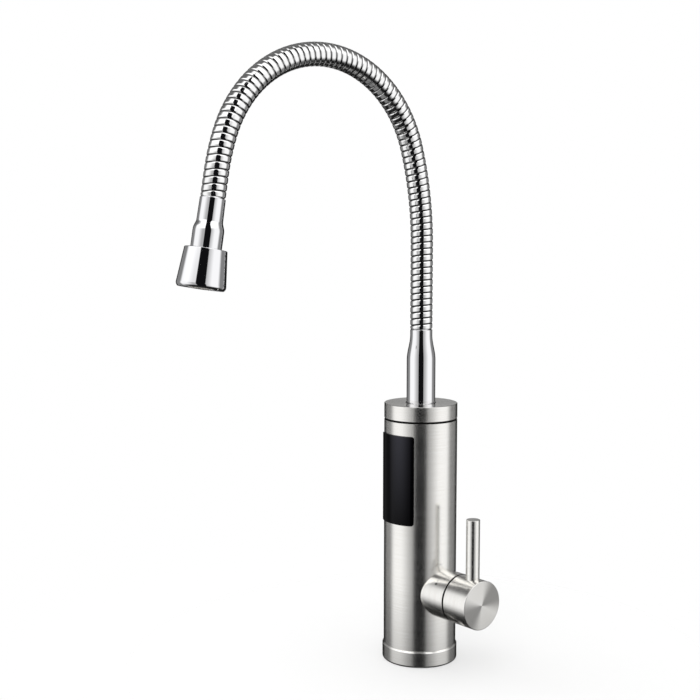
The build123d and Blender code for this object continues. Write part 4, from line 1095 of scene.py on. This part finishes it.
# Single cards fade in between two measures: the ceiling by how squarely a direction points to it, above the tap and
# behind it on the left, and the dark ground and the lighter ground straight below by the direction's height
ceiling_side = 0.8 * Z_AXIS - 0.42 * (sideways + viewpoint_side)
ceiling_card = (0.7, 0.92, "#5C5C5C")
ground_card = (-0.36, -0.74, "#1E1E1E")
foot_card = (-0.88, -0.95, "#888888")

# Sheets on the table, and the flag behind the viewpoint
sheet_radius = 0.9
film_level = -1 * MM
flag_distance = camera_distance * 1.02
flag_half_width = 0.41
flag_soft_edge = 0.05
flag_foot, flag_top = -0.8, 2.6
lamp_target = np.array([0, -0.08, 0.25])


def make_world():
    """Studio: plain white for the camera and for the light on the tap, and cards of grey for what it mirrors."""
    world = bpy.data.worlds.new("studio")
    bpy.context.scene.world = world
    world.use_nodes = True
    world.cycles.sampling_method = "NONE"
    tree = world.node_tree
    direction = add(tree, "ShaderNodeTexCoord").outputs["Generated"]
    height = parts_of(tree, direction)["Z"]
    level = vector_maths(tree, "NORMALIZE", vector_maths(tree, "MULTIPLY", direction, (1, 1, 0)))
    aside = maths(tree, "ARCCOSINE", vector_maths(tree, "DOT_PRODUCT", level, viewpoint_side))
    share = maths(tree, "DIVIDE", aside, pi)
    rings = [ramp(tree, share, [(angle / 180, tone) for angle, tone in cards]) for cards in (level_cards, high_cards)]
    canopy = mapped(tree, height, canopy_foot, canopy_top, soft=True)
    cards = mixed(tree, canopy, *rings)
    overhead = vector_maths(tree, "DOT_PRODUCT", direction, ceiling_side)
    for measure, (start, end, tone) in ((overhead, ceiling_card), (height, ground_card), (height, foot_card)):
        cards = mixed(tree, mapped(tree, measure, start, end, soft=True), cards, colour(tone))
    path = add(tree, "ShaderNodeLightPath").outputs
    white = colour("#FFFFFF")
    plain = mixed(tree, path["Is Glossy Ray"], white, cards)
    lift = maths(tree, "MULTIPLY", canopy, path["Is Glossy Ray"])
    strength = maths(tree, "MULTIPLY_ADD", lift, canopy_boost, 1.0)
    seen = maths(tree, "MAXIMUM", path["Is Camera Ray"], path["Is Transmission Ray"])
    feed(tree, tree.nodes["Background"], {"Color": mixed(tree, seen, plain, white), "Strength": strength})


def only_mirrored(card):
    """Lets a card be seen in the metal alone."""
    card.visible_camera = False
    card.visible_diffuse = False
    card.visible_transmission = False
    card.visible_shadow = False


def sheet(name, around, ring_count, level):
    """Flat round sheet about the tap's foot."""
    angles = 2 * pi * np.arange(around) / around
    rings = np.linspace(0, sheet_radius, ring_count)[:, None]
    x, y = rings * np.cos(angles), rings * np.sin(angles)
    return surface(name, np.stack([x, y, np.full(x.shape, level)], axis=-1), round_columns=True, solid=False)


def clear_where(tree, factor, shader):
    """Shows a shader that goes clear as the factor goes from 0 to 1."""
    clear = add(tree, "ShaderNodeBsdfTransparent").outputs["BSDF"]
    mix = add(tree, "ShaderNodeMixShader", {"Fac": factor, 1: shader.outputs["BSDF"], 2: clear})
    feed(tree, tree.nodes["Material Output"], {"Surface": mix.outputs["Shader"]})


def make_table_card():
    """Smoke-grey disc on the table: what the metal sees through it is dimmer near the tap."""
    card = sheet("table_card", 64, 8, film_level)
    material, tree, shader = new_material("smoke_grey_film")
    tree.nodes.remove(shader)
    away = vector_maths(tree, "LENGTH", object_place(tree))
    film = add(tree, "ShaderNodeBsdfTransparent", {"Color": mapped(tree, away, 0.03, 0.26, 0.6, 1.0)})
    feed(tree, tree.nodes["Material Output"], {"Surface": film.outputs["BSDF"]})
    card.data.materials.append(material)
    only_mirrored(card)


def make_flag():
    """Tall dark flag that stands behind the photograph's viewpoint: the black stripe down each round, bright part."""
    steps = np.linspace(-flag_half_width, flag_half_width, 9), np.linspace(flag_foot, flag_top, 9)
    across, up = (grid[..., None] for grid in np.meshgrid(*steps))
    flag = surface("flag", viewpoint_side * flag_distance + across * sideways + up * Z_AXIS, solid=False)
    material, tree, shader = new_material("black_studio_flag")
    feed(tree, shader, {"Base Color": colour("#000000"), "Specular IOR Level": 0.0})
    feed(tree, shader, {"Emission Color": colour("#111113"), "Emission Strength": 1.0})
    aside = vector_maths(tree, "DOT_PRODUCT", object_place(tree), sideways)
    inner = flag_half_width - flag_soft_edge
    clear_where(tree, mapped(tree, maths(tree, "ABSOLUTE", aside), inner, flag_half_width, soft=True), shader)
    flag.data.materials.append(material)
    only_mirrored(flag)


def make_lamp(name, place, size, power):
    """Soft square lamp aimed at the middle of the tap. It lights, and isn't seen in the metal."""
    lamp = bpy.data.objects.new(name, bpy.data.lights.new(name, "AREA"))
    lamp.data.shape = "SQUARE"
    lamp.data.size = size
    lamp.data.energy = power
    lamp.location = place
    towards = np.array(place) - lamp_target
    across = np.hypot(towards[0], towards[1])
    lamp.rotation_euler = (np.arctan2(across, towards[2]), 0, np.arctan2(towards[1], towards[0]) + pi / 2)
    lamp.visible_glossy = False
    bpy.context.scene.collection.objects.link(lamp)


def make_floor():
    """Pale round floor that fades into the white behind it. It keeps the tap's shadow."""
    floor = sheet("floor", 96, 12, 0.0)
    material, tree, shader = new_material("matt_studio_paper")
    feed(tree, shader, {"Base Color": colour("#F4F4F4"), "Roughness": 0.9, "Specular IOR Level": 0.0})
    away = vector_maths(tree, "LENGTH", object_place(tree))
    clear_where(tree, mapped(tree, away, 0.08, 0.4, 0.45, 1.0, soft=True), shader)
    floor.data.materials.append(material)
    floor.visible_glossy = False


def dress_cad_nodes():
    """Gives every CAD node its slot's material."""
    slots = {entry["node"]: entry["material_slot"] for entry in frame["record"]["subparts"]}
    for name, node in frame["nodes"].items():
        node.data.materials.clear()
        node.data.materials.append(slot_materials[slots[name]])


bpy.context.scene.view_settings.view_transform = "Standard"
make_camera()
make_world()
make_lamp("key_lamp", place=(0.9, -1.3, 1.7), size=1.2, power=8)
make_lamp("fill_lamp", place=(-1.4, -0.6, 1.3), size=1.2, power=4)
make_floor()
make_flag()
make_table_card()
dress_cad_nodes()
make_base_ring()
make_column_shell()
make_seam_seal()
make_cap()
make_bearing()
make_pane()
make_housing()
make_knob()
make_lever()
make_neck_base()
make_sleeve()
make_bell()
for number in range(joint_count):
    make_hose_piece(number)
    make_liner_piece(number)
